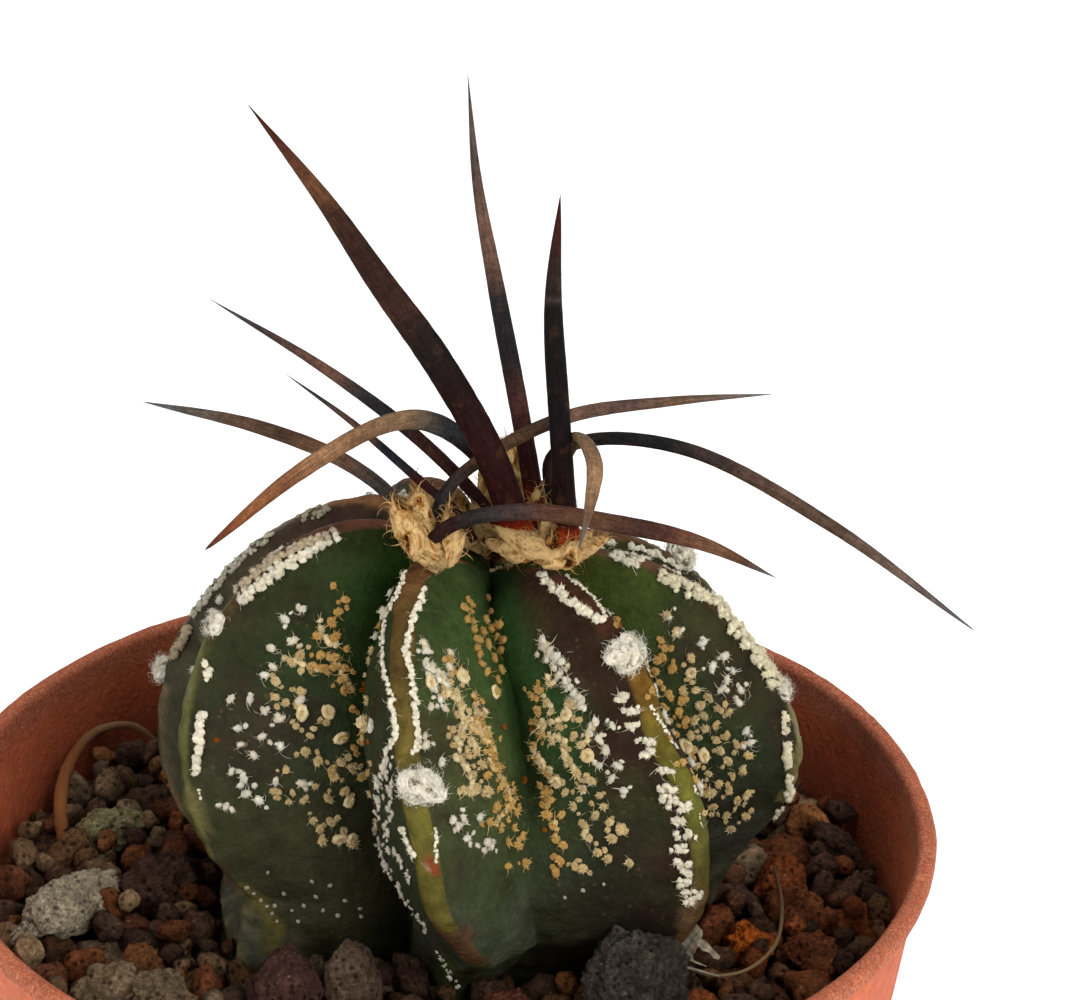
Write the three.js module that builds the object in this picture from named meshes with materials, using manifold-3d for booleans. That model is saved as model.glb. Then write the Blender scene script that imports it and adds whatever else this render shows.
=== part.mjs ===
// A goat's horn cactus in its small round pot: a ribbed body on a gravel bed, with a woolly crown,
// woolly areoles and long flattened horn-like spines.
// Millimetres, +Z up. The origin is the centre of the pot's flat base. -Y is the front.
import * as THREE from "three";
import { mergeVertices } from "three/addons/utils/BufferGeometryUtils.js";
import Module from "manifold-3d";

const wasm = await Module();
wasm.setup();

// Driving dimensions of the pot
const RIM_RADIUS = 32.5;
const POT_HEIGHT = 56;
const BASE_RADIUS = 22.5;
const LIP_HEIGHT = 1.2;
const LIP_STEP = 0.9;
const RIM_WIDTH = 1.25;
const WALL = 0.8;
const FLOOR = 1.4;
const EDGE = 0.35;
const POT_SIDES = 56;
const DRAIN_HOLES = 5;
const DRAIN_RADIUS = 2.5;
const DRAIN_CIRCLE = 13;

// Driving dimensions of the gravel
const GRAVEL_LEVEL = 47.1;
const GAP = 0.3;
const BED_STONES = 98;
const BED_STONE_RADIUS = [1.8, 3];

// Driving dimensions of the plant's body. Angles are in degrees: an azimuth is 0 at the front and
// grows to the right, a polar angle is 0 straight up from the body's hub.
const PLANT_X = 3.2;
const PLANT_Y = 1.2;
const HUB_Z = 62.5;
const BODY_BOTTOM = 43.5;
const CREST_STEP = 15;
const CREST_REACH = [10.4, 13.3, 15.7, 17.4, 18.7, 20, 21.1, 21.2, 20.2];
const TOP_ANGLE = 6;
const TURN_ANGLE = 115;
const CREST_HALF_WIDTH = 0.85;
const CREST_ROUNDING = 0.4;
const FACE_SWELL = 1.15;
const VALLEY_SHARE = { crown: 0.84, waist: 0.53, foot: 0.6 };
const CROWN_ROWS = 17;
const FOOT_ROWS = 5;
const FACE_STEPS = 3;

// One entry a rib, in turn round the plant. size scales its reach, shoulder moves its bulk up or
// down, twist turns it on its way down, wave and phase bend its crest sideways, foot is its radius
// in the gravel, tuft the polar angle of its old woolly areole, and corky fills the furrow after it.
const RIBS = [
  { name: "front", azimuth: -11.4, size: 0.982, shoulder: -0.055, twist: 0.32, wave: -0.1, phase: 25,
    foot: 11, footAzimuth: -19, tuft: 75 },
  { name: "front_right", azimuth: 40.8, size: 0.973, shoulder: 0.01, twist: 0.032, wave: -0.165,
    phase: 34, foot: 12.5, footAzimuth: 39, tuft: 51 },
  { name: "right", azimuth: 85, size: 0.959, shoulder: 0.038, twist: -0.022, wave: 0.09, phase: 22,
    foot: 14.6, footAzimuth: 85, tuft: 78 },
  { name: "back_right", azimuth: 125, size: 0.947, shoulder: 0.09, twist: 0.085, wave: 0.19, phase: 10,
    foot: 13, footAzimuth: 130, tuft: 62 },
  { name: "back", azimuth: 168, size: 0.98, shoulder: 0.03, twist: 0.08, wave: -0.3, phase: 35,
    foot: 13, footAzimuth: 171, tuft: 70 },
  { name: "back_left", azimuth: 209, size: 1, shoulder: 0.03, twist: 0.12, wave: 0.35, phase: 15,
    foot: 13.5, footAzimuth: 211, tuft: 58 },
  { name: "left", azimuth: 251.2, size: 1.061, shoulder: 0.055, twist: 0.27, wave: 0.05, phase: 31,
    foot: 17.6, footAzimuth: 252, tuft: 91, corky: 0.4 },
  { name: "front_left", azimuth: 293.3, size: 1.016, shoulder: -0.092, twist: 0.222, wave: -0.3,
    phase: 17, foot: 18.3, footAzimuth: 298, tuft: 62 },
];

// Woolly cushions of the crown: centre and half sizes
const WOOL = {
  crown_wool: { at: [3.5, 1.3, 76], size: [3.6, 2.9, 2.2] },
  areole_wool_front: { at: [-0.5, -4.7, 78.3], size: [2.3, 2, 2.2] },
  areole_wool_front_right: { at: [7, -3.6, 77.5], size: [3.1, 1.9, 1.5] },
  areole_wool_left: { at: [-1.3, 2.9, 76.9], size: [1.2, 1.1, 1.1] },
  areole_wool_back: { at: [4.2, 6.2, 77.9], size: [1.7, 1.5, 2] },
};
const TUFT_SIZE = [1.5, 1.1, 1.25];

// The horn-like spines: points from root to tip, breadth and thickness at the widest place, the share
// of its length where that is (belly), and the breadth at the root as a share of it.
const SPINES = {
  spine_tall_left: {
    path: [[5.2, -2.8, 76.8], [2.8, -2, 82.9], [-0.8, -0.9, 88.9], [-4.6, 0.2, 93.7], [-7.4, 1.7, 98.3],
      [-12.3, 3.8, 103.7]],
    breadth: 2, thickness: 1.1, belly: 0.12, root: 1.05,
  },
  spine_upright: {
    path: [[8.1, -4, 77.2], [7.1, -1.8, 86.2], [6.7, -0.2, 93], [6.9, 1.4, 99.1]],
    breadth: 1.45, thickness: 0.9, belly: 0.3, root: 0.95,
  },
  spine_tall_back: {
    path: [[6.2, -0.2, 77], [5, 3.3, 83], [3.4, 8, 89.9], [1, 15, 101.6]],
    breadth: 1.5, thickness: 0.95, belly: 0.15, root: 0.95,
  },
  spine_back_left: {
    path: [[3.9, -0.7, 77.2], [1.5, 0.8, 79.6], [-2.1, 3.2, 82.1], [-8, 6.6, 85], [-15.4, 9.8, 88.1]],
    breadth: 0.9, thickness: 0.7, belly: 0.35, root: 0.85,
  },
  spine_thin_left: {
    path: [[2.1, -1.1, 76.6], [1, 0, 78], [-1.1, 1.4, 79.2], [-5.8, 4.6, 81.9], [-10.4, 7.3, 84.1]],
    breadth: 0.62, thickness: 0.5, belly: 0.3, root: 0.9,
  },
  spine_low_left: {
    path: [[-1.7, -4.1, 77.6], [-2.8, -2.9, 80.1], [-5.8, -0.7, 81.7], [-11.8, 3, 82.4], [-19.4, 5.9, 82.5]],
    breadth: 0.95, thickness: 0.7, belly: 0.4, root: 0.75,
  },
  spine_arched: {
    path: [[4.1, 2.1, 76.6], [2.5, 2.1, 80.7], [-0.6, 0, 84.3], [-3.5, -2.8, 85.5], [-8.8, -6.8, 83.9],
      [-14.2, -10.4, 80.4]],
    breadth: 1.55, thickness: 0.8, belly: 0.6, root: 0.55,
  },
  spine_upper_right: {
    path: [[-0.7, -3.3, 77.8], [0.4, -1.2, 80.3], [3.3, 0.3, 82.3], [8, 1.2, 84.4], [14.4, 2.7, 84.9],
      [21, 4.2, 84.8]],
    breadth: 0.95, thickness: 0.7, belly: 0.5, root: 0.75,
  },
  spine_long_right: {
    path: [[7.3, 1.9, 76.8], [6.8, 3.8, 80], [9.3, 3.2, 81.7], [15.6, 1.2, 82], [24.6, -2.2, 78.4],
      [33.6, -6, 73.4]],
    breadth: 0.95, thickness: 0.75, belly: 0.45, root: 0.8,
  },
  spine_claw: {
    path: [[7.5, -2.3, 77.3], [7.5, 0.6, 81.6], [8.5, -1.5, 84.5], [9.5, -6.2, 84.7], [9.2, -9, 83.1],
      [8.6, -10.4, 81.1]],
    breadth: 1.35, thickness: 0.7, belly: 0.6, root: 0.6,
  },
  spine_front_right: {
    path: [[-1.5, -5.3, 77.7], [0.9, -5, 79.8], [5, -5.5, 81], [11, -6.7, 80.9], [16.3, -7.2, 79.9],
      [21, -6.8, 77.4]],
    breadth: 1.2, thickness: 0.75, belly: 0.7, root: 0.65,
  },
};
const SPINE_SIDES = 8;
const SPINE_STATIONS = 11;
const SPINE_FACES = new THREE.Vector3(0, -0.89, 0.45);

// Loose stones that lie on the bed: centre, half sizes, turn about +Z in degrees, colour
const STONES = {
  stone_dark_grey: { at: [13.1, -14.4, 52.3], size: [3.3, 3, 4.2], turn: 20, colour: "#4a4446" },
  stone_red_brown: { at: [4.7, -13.7, 49.1], size: [2.1, 1.9, 1.9], turn: 0, colour: "#6a3a2c" },
  stone_taupe: { at: [-4.8, -12.7, 49.2], size: [1.8, 2, 2.1], turn: 10, colour: "#6e5d55" },
  stone_purple: { at: [-9.6, -13.4, 49.1], size: [2.6, 2.2, 2.1], turn: 15, colour: "#5c444b" },
  stone_tan_rough: { at: [-17.1, -12.5, 49.4], size: [2.6, 1.9, 1.8], turn: -15, colour: "#9a8066" },
  stone_grey_long: { at: [-24.3, -3.4, 49.5], size: [3.7, 1.9, 1.8], turn: 50, colour: "#a39c8c" },
  stone_violet: { at: [-18.3, 0.6, 49.4], size: [2.4, 2.6, 2.2], turn: 0, colour: "#4b363c" },
  stone_green_grey: { at: [-22.4, 7.6, 49.2], size: [2.4, 1.6, 1.5], turn: 25, colour: "#7d7c66" },
  stone_orange: { at: [20.3, -5, 49.2], size: [1.5, 1.4, 1.8], turn: 0, colour: "#b0682c" },
  stone_orange_brown: { at: [22.7, 2.8, 49.3], size: [1.9, 1.9, 2], turn: 30, colour: "#8c4a26" },
  stone_rust: { at: [24.8, -5.6, 48.9], size: [2.2, 1.8, 1.5], turn: -50, colour: "#7c4630" },
  stone_back_grey: { at: [9, 23, 49], size: [2.7, 2, 1.8], turn: -20, colour: "#8d857a" },
  stone_back_rust: { at: [-9.5, 23.2, 49], size: [2.3, 2.1, 1.7], turn: 20, colour: "#86502f" },
  stone_back_tan: { at: [20.5, 15.3, 49], size: [2.5, 1.8, 1.7], turn: -40, colour: "#94795f" },
};

// Dry root fibres and a papery husk that lie on the gravel: points along each, breadth and thickness
const FIBRES = {
  root_fibre_left: {
    path: [[-24.6, 3, 48.6], [-25.8, 8.5, 50.4], [-25.7, 13.6, 51], [-24.2, 17.9, 51.2],
      [-21.9, 19.5, 50.8], [-20, 19.6, 49.4]],
    breadth: 0.75, thickness: 0.75, belly: 0.3, root: 0.8, colour: "#86532e",
  },
  root_fibre_right: {
    path: [[22.2, 1.6, 51.4], [22.5, -3.6, 51.4], [21.8, -8.3, 51.4], [19.8, -11.2, 51.4],
      [17.7, -11.8, 51.4], [15.4, -10.6, 51.4]],
    breadth: 0.5, thickness: 0.5, belly: 0.4, root: 0.7, colour: "#a58a6a",
  },
  husk: {
    path: [[14.7, -10, 51.5], [16.2, -9.1, 52], [17.8, -9.4, 51.9], [18.7, -10.3, 51.2]],
    breadth: 2, thickness: 0.5, belly: 0.45, root: 0.4, colour: "#d6cdb9",
  },
};

const COLOURS = {
  pot: { color: "#b4553a", roughness: 0.75 },
  gravel: { color: "#5b4538", roughness: 0.95 },
  body: { color: "#34451f", roughness: 0.6 },
  wool: { color: "#cdb184", roughness: 1 },
  tuft: { color: "#ece6da", roughness: 1 },
  spine: { color: "#3f231d", roughness: 0.5 },
};

const radians = THREE.MathUtils.degToRad;
const plant = new THREE.Group();

function lookOf({ color, roughness }) {
  return new THREE.MeshStandardMaterial({ color, roughness, metalness: 0 });
}

function addPiece(name, geometry, look) {
  const mesh = new THREE.Mesh(geometry, lookOf(look));
  mesh.name = name;
  plant.add(mesh);
}

// A repeatable random number from 0 to 1 for each whole number
function chance(seed) {
  const wide = Math.sin(seed * 127.1 + 11.7) * 43758.5453;
  return wide - Math.floor(wide);
}

// Turns a closed geometry into a solid: shared corners merged and collapsed faces dropped.
function solidOf(geometry) {
  const bare = new THREE.BufferGeometry();
  bare.setAttribute("position", geometry.getAttribute("position"));
  if (geometry.index) bare.setIndex(geometry.index);
  const merged = mergeVertices(bare, 1e-4);
  const kept = [];
  const corners = merged.index.array;
  for (let i = 0; i < corners.length; i += 3) {
    const [a, b, c] = corners.slice(i, i + 3);
    if (a !== b && b !== c && c !== a) kept.push(a, b, c);
  }
  return new wasm.Manifold(new wasm.Mesh({
    numProp: 3,
    vertProperties: new Float32Array(merged.attributes.position.array),
    triVerts: new Uint32Array(kept),
  }));
}

function geometryOf(solid) {
  const mesh = solid.getMesh();
  const places = new Float32Array(mesh.numVert * 3);
  for (let i = 0; i < mesh.numVert; i += 1) {
    places.set(mesh.vertProperties.subarray(i * mesh.numProp, i * mesh.numProp + 3), i * 3);
  }
  const geometry = new THREE.BufferGeometry();
  geometry.setAttribute("position", new THREE.BufferAttribute(places, 3));
  geometry.setIndex(new THREE.BufferAttribute(new Uint32Array(mesh.triVerts), 1));
  return geometry;
}

// The largest body of a cut solid: loose scraps are dropped.
function mainBody(solid) {
  return solid.decompose().sort((a, b) => b.volume() - a.volume())[0];
}

// A closed skin over rings of points, each ring with as many points, capped at both ends.
function skinOf(rings, first, last) {
  const sides = rings[0].length;
  const points = [first, ...rings.flat(), last];
  const faces = [];
  const at = (ring, side) => 1 + ring * sides + (side % sides);
  for (let side = 0; side < sides; side += 1) {
    faces.push(0, at(0, side), at(0, side + 1));
    faces.push(points.length - 1, at(rings.length - 1, side + 1), at(rings.length - 1, side));
  }
  for (let ring = 0; ring + 1 < rings.length; ring += 1) {
    for (let side = 0; side < sides; side += 1) {
      faces.push(at(ring, side), at(ring + 1, side), at(ring + 1, side + 1));
      faces.push(at(ring, side), at(ring + 1, side + 1), at(ring, side + 1));
    }
  }
  const geometry = new THREE.BufferGeometry();
  geometry.setAttribute("position", new THREE.Float32BufferAttribute(points.flatMap((p) => p.toArray()), 3));
  geometry.setIndex(faces);
  return geometry;
}

// The value at x of a smooth line through evenly spaced values
function smoothValue(values, x) {
  const i = Math.min(Math.max(Math.floor(x), 0), values.length - 2);
  const f = x - i;
  const here = values[i];
  const next = values[i + 1];
  const before = i > 0 ? values[i - 1] : 2 * here - next;
  const after = i + 2 < values.length ? values[i + 2] : 2 * next - here;
  const bend = 2 * before - 5 * here + 4 * next - after + f * (3 * (here - next) + after - before);
  return here + 0.5 * f * (next - before + f * bend);
}

// Where a rib's crest is at a row: rows from 0 to 1 run down the crown, from 1 to 2 down the foot.
function crestAt(rib, row) {
  const angle = TOP_ANGLE + (TURN_ANGLE - TOP_ANGLE) * Math.min(row, 1);
  const bulk = rib.size + rib.shoulder * Math.sin(2 * radians(angle - 90));
  const reach = smoothValue(CREST_REACH, angle / CREST_STEP) * bulk;
  const radius = reach * Math.sin(radians(angle));
  const height = HUB_Z + reach * Math.cos(radians(angle));
  const wave = rib.wave * Math.sin(Math.PI * (angle - rib.phase) / 50) * Math.min(1, radius / 12);
  const azimuth = radians(rib.azimuth) + rib.twist * radians(angle - 80) + wave / Math.max(radius, 8);
  if (row <= 1) return { radius, height, azimuth };
  const down = row - 1;
  return {
    radius: rib.foot + (radius - rib.foot) * (1 - Math.min(1, down / 0.75)) ** 2,
    height: height + (BODY_BOTTOM - height) * down,
    azimuth: azimuth + (radians(rib.footAzimuth) - azimuth) * down,
  };
}

function placeOf({ radius, height, azimuth }) {
  return new THREE.Vector3(
    PLANT_X + radius * Math.sin(azimuth),
    PLANT_Y - radius * Math.cos(azimuth),
    height,
  );
}

// The furrow between a rib and the next one, at a row
function valleyAt(rib, next, row) {
  const a = crestAt(rib, row);
  const b = crestAt(next, row);
  const turn = b.azimuth < a.azimuth ? 2 * Math.PI : 0;
  const down = Math.min(row, 1);
  const fall = Math.sin(0.5 * Math.PI * down ** 0.8);
  let share = VALLEY_SHARE.crown + (VALLEY_SHARE.waist - VALLEY_SHARE.crown) * fall;
  if (row > 1) {
    share += (VALLEY_SHARE.foot - VALLEY_SHARE.waist) * (row - 1);
    share += (rib.corky ?? 0) * Math.min(1, 2.4 * (row - 1));
  }
  const height = (a.height + b.height) / 2;
  return {
    radius: share * (a.radius + b.radius) / 2,
    height: height > HUB_Z ? HUB_Z + (height - HUB_Z) * share : height,
    azimuth: (a.azimuth + b.azimuth + turn) / 2,
  };
}

// The body's skin, grown by a clearance all round where a neighbour is cut to fit it
function bodyGeometry(clearance) {
  const rings = [];
  const rows = CROWN_ROWS + FOOT_ROWS;
  for (let step = 0; step <= rows; step += 1) {
    const row = step <= CROWN_ROWS ? step / CROWN_ROWS : 1 + (step - CROWN_ROWS) / FOOT_ROWS;
    const ring = [];
    RIBS.forEach((rib, index) => {
      const next = RIBS[(index + 1) % RIBS.length];
      const valley = valleyAt(rib, next, row);
      valley.radius += 2 * clearance;
      const furrow = placeOf(valley);
      const edges = [rib, next].map((each, side) => edgeAt(each, row, side === 0 ? 1 : -1, clearance));
      ring.push(edges[0].low, edges[0].crest);
      [0, 1].forEach((side) => {
        const edge = edges[side];
        for (let k = 0; k < FACE_STEPS; k += 1) {
          const s = side === 0 ? 1 - k / FACE_STEPS : k / FACE_STEPS;
          const swell = FACE_SWELL * Math.min(1, edge.radius / 18) * Math.sin(Math.PI * s);
          ring.push(furrow.clone().lerp(edge.rim, s).addScaledVector(edge.away, swell));
        }
      });
    });
    rings.push(ring);
  }
  const top = rings[0].reduce((sum, p) => sum.add(p), new THREE.Vector3()).divideScalar(rings[0].length);
  const bottom = new THREE.Vector3(PLANT_X, PLANT_Y, BODY_BOTTOM - clearance);
  rings[rings.length - 1].forEach((p) => p.setZ(BODY_BOTTOM - clearance));
  return skinOf(rings, top, bottom);
}

// A rib's blunt crest at a row, and its rim towards one side: +1 right, -1 left
function edgeAt(rib, row, side, clearance) {
  const place = crestAt(rib, row);
  const out = new THREE.Vector3(Math.sin(place.azimuth), -Math.cos(place.azimuth), 0);
  const away = new THREE.Vector3(Math.cos(place.azimuth), Math.sin(place.azimuth), 0);
  const centre = placeOf(place);
  const up = centre.clone().sub(new THREE.Vector3(PLANT_X, PLANT_Y, HUB_Z)).normalize();
  const normal = row <= 1 ? up : out;
  const slim = Math.min(1, place.radius / 7);
  const crest = centre.addScaledVector(normal, clearance);
  const rimAt = (to) => crest.clone()
    .addScaledVector(away, to * (CREST_HALF_WIDTH * slim + clearance))
    .addScaledVector(normal, -CREST_ROUNDING * slim);
  return { crest, rim: rimAt(side), low: rimAt(-side), away: away.clone().multiplyScalar(side), radius: place.radius };
}

// A ball with uneven lumps, turned about +Z
function lumpyBall({ at, size, turn = 0 }, detail, seed, lumps, grow = 0) {
  const ball = mergeVertices(bareIcosahedron(detail), 1e-4);
  const places = ball.attributes.position;
  const spot = new THREE.Vector3();
  for (let i = 0; i < places.count; i += 1) {
    spot.fromBufferAttribute(places, i);
    const bump = 1 + lumps * (chance(seed * 97 + i) - 0.5);
    spot.multiplyScalar(bump);
    spot.set(spot.x * (size[0] + grow), spot.y * (size[1] + grow), spot.z * (size[2] + grow));
    places.setXYZ(i, spot.x, spot.y, spot.z);
  }
  ball.rotateZ(radians(turn));
  ball.translate(...at);
  return solidOf(ball);
}

function bareIcosahedron(detail) {
  const ball = new THREE.IcosahedronGeometry(1, detail);
  ball.deleteAttribute("normal");
  ball.deleteAttribute("uv");
  return ball;
}

// A flattened horn: an oval section carried along a smooth path without twisting
function spineSolid({ path, breadth, thickness, belly, root }, grow = 0) {
  const curve = new THREE.CatmullRomCurve3(path.map((p) => new THREE.Vector3(...p)), false, "centripetal");
  const face = SPINE_FACES.clone();
  const rings = [];
  for (let station = 0; station < SPINE_STATIONS; station += 1) {
    const s = station / SPINE_STATIONS;
    const tangent = curve.getTangentAt(s);
    face.addScaledVector(tangent, -face.dot(tangent)).normalize();
    const across = new THREE.Vector3().crossVectors(tangent, face);
    const share = spineShare(s, belly, root);
    const centre = curve.getPointAt(s);
    const ring = [];
    for (let side = 0; side < SPINE_SIDES; side += 1) {
      const turn = 2 * Math.PI * side / SPINE_SIDES;
      ring.push(centre.clone()
        .addScaledVector(across, Math.cos(turn) * (breadth * share / 2 + grow))
        .addScaledVector(face, Math.sin(turn) * (thickness * Math.sqrt(share) / 2 + grow)));
    }
    rings.push(ring);
  }
  return solidOf(skinOf(rings, curve.getPointAt(0).addScaledVector(curve.getTangentAt(0), -grow), curve.getPointAt(1)));
}

function spineShare(s, belly, root) {
  if (s < belly) return root + (1 - root) * Math.sin(0.5 * Math.PI * s / belly);
  return Math.max(0.04, 1 - ((s - belly) / (1 - belly)) ** 2.3);
}

function potSolid() {
  const underLip = RIM_RADIUS - LIP_STEP;
  const insideTop = underLip - WALL;
  const profile = [
    [0, 0], [BASE_RADIUS - EDGE, 0], [BASE_RADIUS, EDGE],
    [underLip, POT_HEIGHT - LIP_HEIGHT], [RIM_RADIUS, POT_HEIGHT - LIP_HEIGHT + 0.1],
    [RIM_RADIUS, POT_HEIGHT - EDGE], [RIM_RADIUS - EDGE, POT_HEIGHT],
    [RIM_RADIUS - RIM_WIDTH + EDGE, POT_HEIGHT], [RIM_RADIUS - RIM_WIDTH, POT_HEIGHT - EDGE],
    [insideTop, POT_HEIGHT - 2 * LIP_HEIGHT],
    [BASE_RADIUS - WALL, FLOOR + EDGE], [BASE_RADIUS - WALL - EDGE, FLOOR], [0, FLOOR],
  ].map(([r, z]) => new THREE.Vector2(r, z));
  let pot = solidOf(new THREE.LatheGeometry(profile, POT_SIDES).rotateX(Math.PI / 2));
  for (let i = 0; i < DRAIN_HOLES; i += 1) {
    const turn = 2 * Math.PI * (i + 0.5) / DRAIN_HOLES;
    const hole = new THREE.CylinderGeometry(DRAIN_RADIUS, DRAIN_RADIUS, 4 * FLOOR, 12).rotateX(Math.PI / 2);
    hole.translate(DRAIN_CIRCLE * Math.cos(turn), DRAIN_CIRCLE * Math.sin(turn), FLOOR / 2);
    pot = pot.subtract(solidOf(hole));
  }
  return pot;
}

// The pot's inside radius at a height
function insideRadius(z) {
  const low = BASE_RADIUS - WALL;
  const high = RIM_RADIUS - LIP_STEP - WALL;
  const lowZ = FLOOR + EDGE;
  return low + (high - low) * (z - lowZ) / (POT_HEIGHT - 2 * LIP_HEIGHT - lowZ);
}

// The room inside the pot, up to a height, with a gap to its wall and floor
function potRoom(top) {
  const bottom = FLOOR + GAP;
  const profile = [
    [0, bottom], [insideRadius(bottom) - 2 * GAP, bottom], [insideRadius(top) - 1.2 * GAP, top], [0, top],
  ].map(([r, z]) => new THREE.Vector2(r, z));
  return solidOf(new THREE.LatheGeometry(profile, 40).rotateX(Math.PI / 2));
}

// The bed fills the pot, and its surface is stones set half into it by a rule.
function bedSolid(body, looseThings) {
  const pieces = [potRoom(GRAVEL_LEVEL)];
  const reach = insideRadius(GRAVEL_LEVEL);
  for (let i = 0; i < BED_STONES; i += 1) {
    const size = BED_STONE_RADIUS[0] + (BED_STONE_RADIUS[1] - BED_STONE_RADIUS[0]) * chance(i + 500);
    const radius = (reach - 0.75 * size) * Math.sqrt(0.12 + 0.88 * (i + 0.5) / BED_STONES);
    const turn = 2.39996 * i;
    const stone = {
      at: [radius * Math.cos(turn), radius * Math.sin(turn), GRAVEL_LEVEL + size * (0.2 + 0.45 * chance(i + 900))],
      size: [size, size * (0.75 + 0.3 * chance(i + 700)), size * (0.7 + 0.3 * chance(i + 800))],
      turn: 360 * chance(i + 600),
    };
    pieces.push(lumpyBall(stone, 0, i, 0.25));
  }
  let bed = wasm.Manifold.union(pieces).intersect(potRoom(POT_HEIGHT - 2 * LIP_HEIGHT)).subtract(body);
  looseThings.forEach((thing) => { bed = bed.subtract(thing); });
  return mainBody(bed);
}

// An old areole's tuft sits on its rib's crest.
function tuftSolid(rib, index, body) {
  const place = crestAt(rib, (rib.tuft - TOP_ANGLE) / (TURN_ANGLE - TOP_ANGLE));
  const tuft = { at: placeOf(place).toArray(), size: TUFT_SIZE, turn: THREE.MathUtils.radToDeg(place.azimuth) };
  return mainBody(lumpyBall(tuft, 1, index + 40, 0.3).subtract(body));
}

const roomForBody = solidOf(bodyGeometry(GAP));
const stoneNames = Object.keys(STONES);
const stoneSolids = stoneNames.map((name, i) => (
  mainBody(lumpyBall(STONES[name], 1, i + 60, 0.22).subtract(roomForBody))
));
const roomForStones = stoneNames.map((name, i) => lumpyBall(STONES[name], 1, i + 60, 0.22, GAP));
const roomForFibres = Object.values(FIBRES).map((fibre) => spineSolid(fibre, GAP));
const roomForSpines = Object.values(SPINES).map((spine) => spineSolid(spine, GAP));

addPiece("pot", geometryOf(potSolid()), COLOURS.pot);
addPiece("gravel_bed", geometryOf(bedSolid(roomForBody, [...roomForStones, ...roomForFibres])), COLOURS.gravel);
addPiece("cactus_body", bodyGeometry(0), COLOURS.body);
stoneNames.forEach((name, i) => {
  addPiece(name, geometryOf(stoneSolids[i]), { color: STONES[name].colour, roughness: 0.95 });
});

Object.entries(FIBRES).forEach(([name, fibre]) => {
  let piece = spineSolid(fibre).subtract(roomForBody);
  roomForStones.forEach((stone) => { piece = piece.subtract(stone); });
  addPiece(name, geometryOf(mainBody(piece)), { color: fibre.colour, roughness: 0.9 });
});

Object.entries(WOOL).forEach(([name, wool], i, all) => {
  let cushion = lumpyBall(wool, 2, i + 20, 0.22).subtract(roomForBody);
  all.slice(0, i).forEach(([, earlier], k) => {
    cushion = cushion.subtract(lumpyBall(earlier, 2, k + 20, 0.22, GAP));
  });
  roomForSpines.forEach((spine) => { cushion = cushion.subtract(spine); });
  addPiece(name, geometryOf(mainBody(cushion)), COLOURS.wool);
});
RIBS.forEach((rib, index) => {
  addPiece(`rib_tuft_${rib.name}`, geometryOf(tuftSolid(rib, index, roomForBody)), COLOURS.tuft);
});
Object.entries(SPINES).forEach(([name, spine]) => {
  addPiece(name, geometryOf(spineSolid(spine)), COLOURS.spine);
});

export default plant;
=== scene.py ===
import math
import random

import bpy
import numpy as np
from mathutils import Matrix, Vector, noise
from mathutils.bvhtree import BVHTree


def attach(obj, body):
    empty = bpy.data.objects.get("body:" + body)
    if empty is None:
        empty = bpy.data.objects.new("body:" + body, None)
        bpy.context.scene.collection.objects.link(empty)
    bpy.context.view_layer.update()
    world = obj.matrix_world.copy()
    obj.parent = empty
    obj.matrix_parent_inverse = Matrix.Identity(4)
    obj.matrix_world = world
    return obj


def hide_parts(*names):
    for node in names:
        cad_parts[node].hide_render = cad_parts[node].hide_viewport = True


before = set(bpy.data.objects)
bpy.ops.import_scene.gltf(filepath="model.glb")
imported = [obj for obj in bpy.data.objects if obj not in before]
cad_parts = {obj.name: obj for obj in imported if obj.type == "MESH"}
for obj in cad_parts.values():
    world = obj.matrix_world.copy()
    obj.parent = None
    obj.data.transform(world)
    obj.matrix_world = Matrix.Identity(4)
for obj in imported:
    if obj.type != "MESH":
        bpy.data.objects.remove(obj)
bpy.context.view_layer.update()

# Goat's horn cactus in its pot. Shapes are given in millimetres and made in metres.
MM = 0.001
ROOT = "root"

# Camera, as fitted to the pot's rim in the photograph
IMAGE_WIDTH = 1080
IMAGE_HEIGHT = 1000
CAMERA_PLACE = Vector((6.19, -257.36, 210.17))
CAMERA_PITCH = math.radians(27)
CAMERA_ROLL = math.radians(1.2)
CAMERA_FOCAL_PIXELS = 4577
SENSOR_WIDTH = 36

# How wide a pixel is at the plant, and the pixel at the plant's middle
PIXEL_MM = 1 / 14.4
PLANT_PIXEL = (480, 720)

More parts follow.
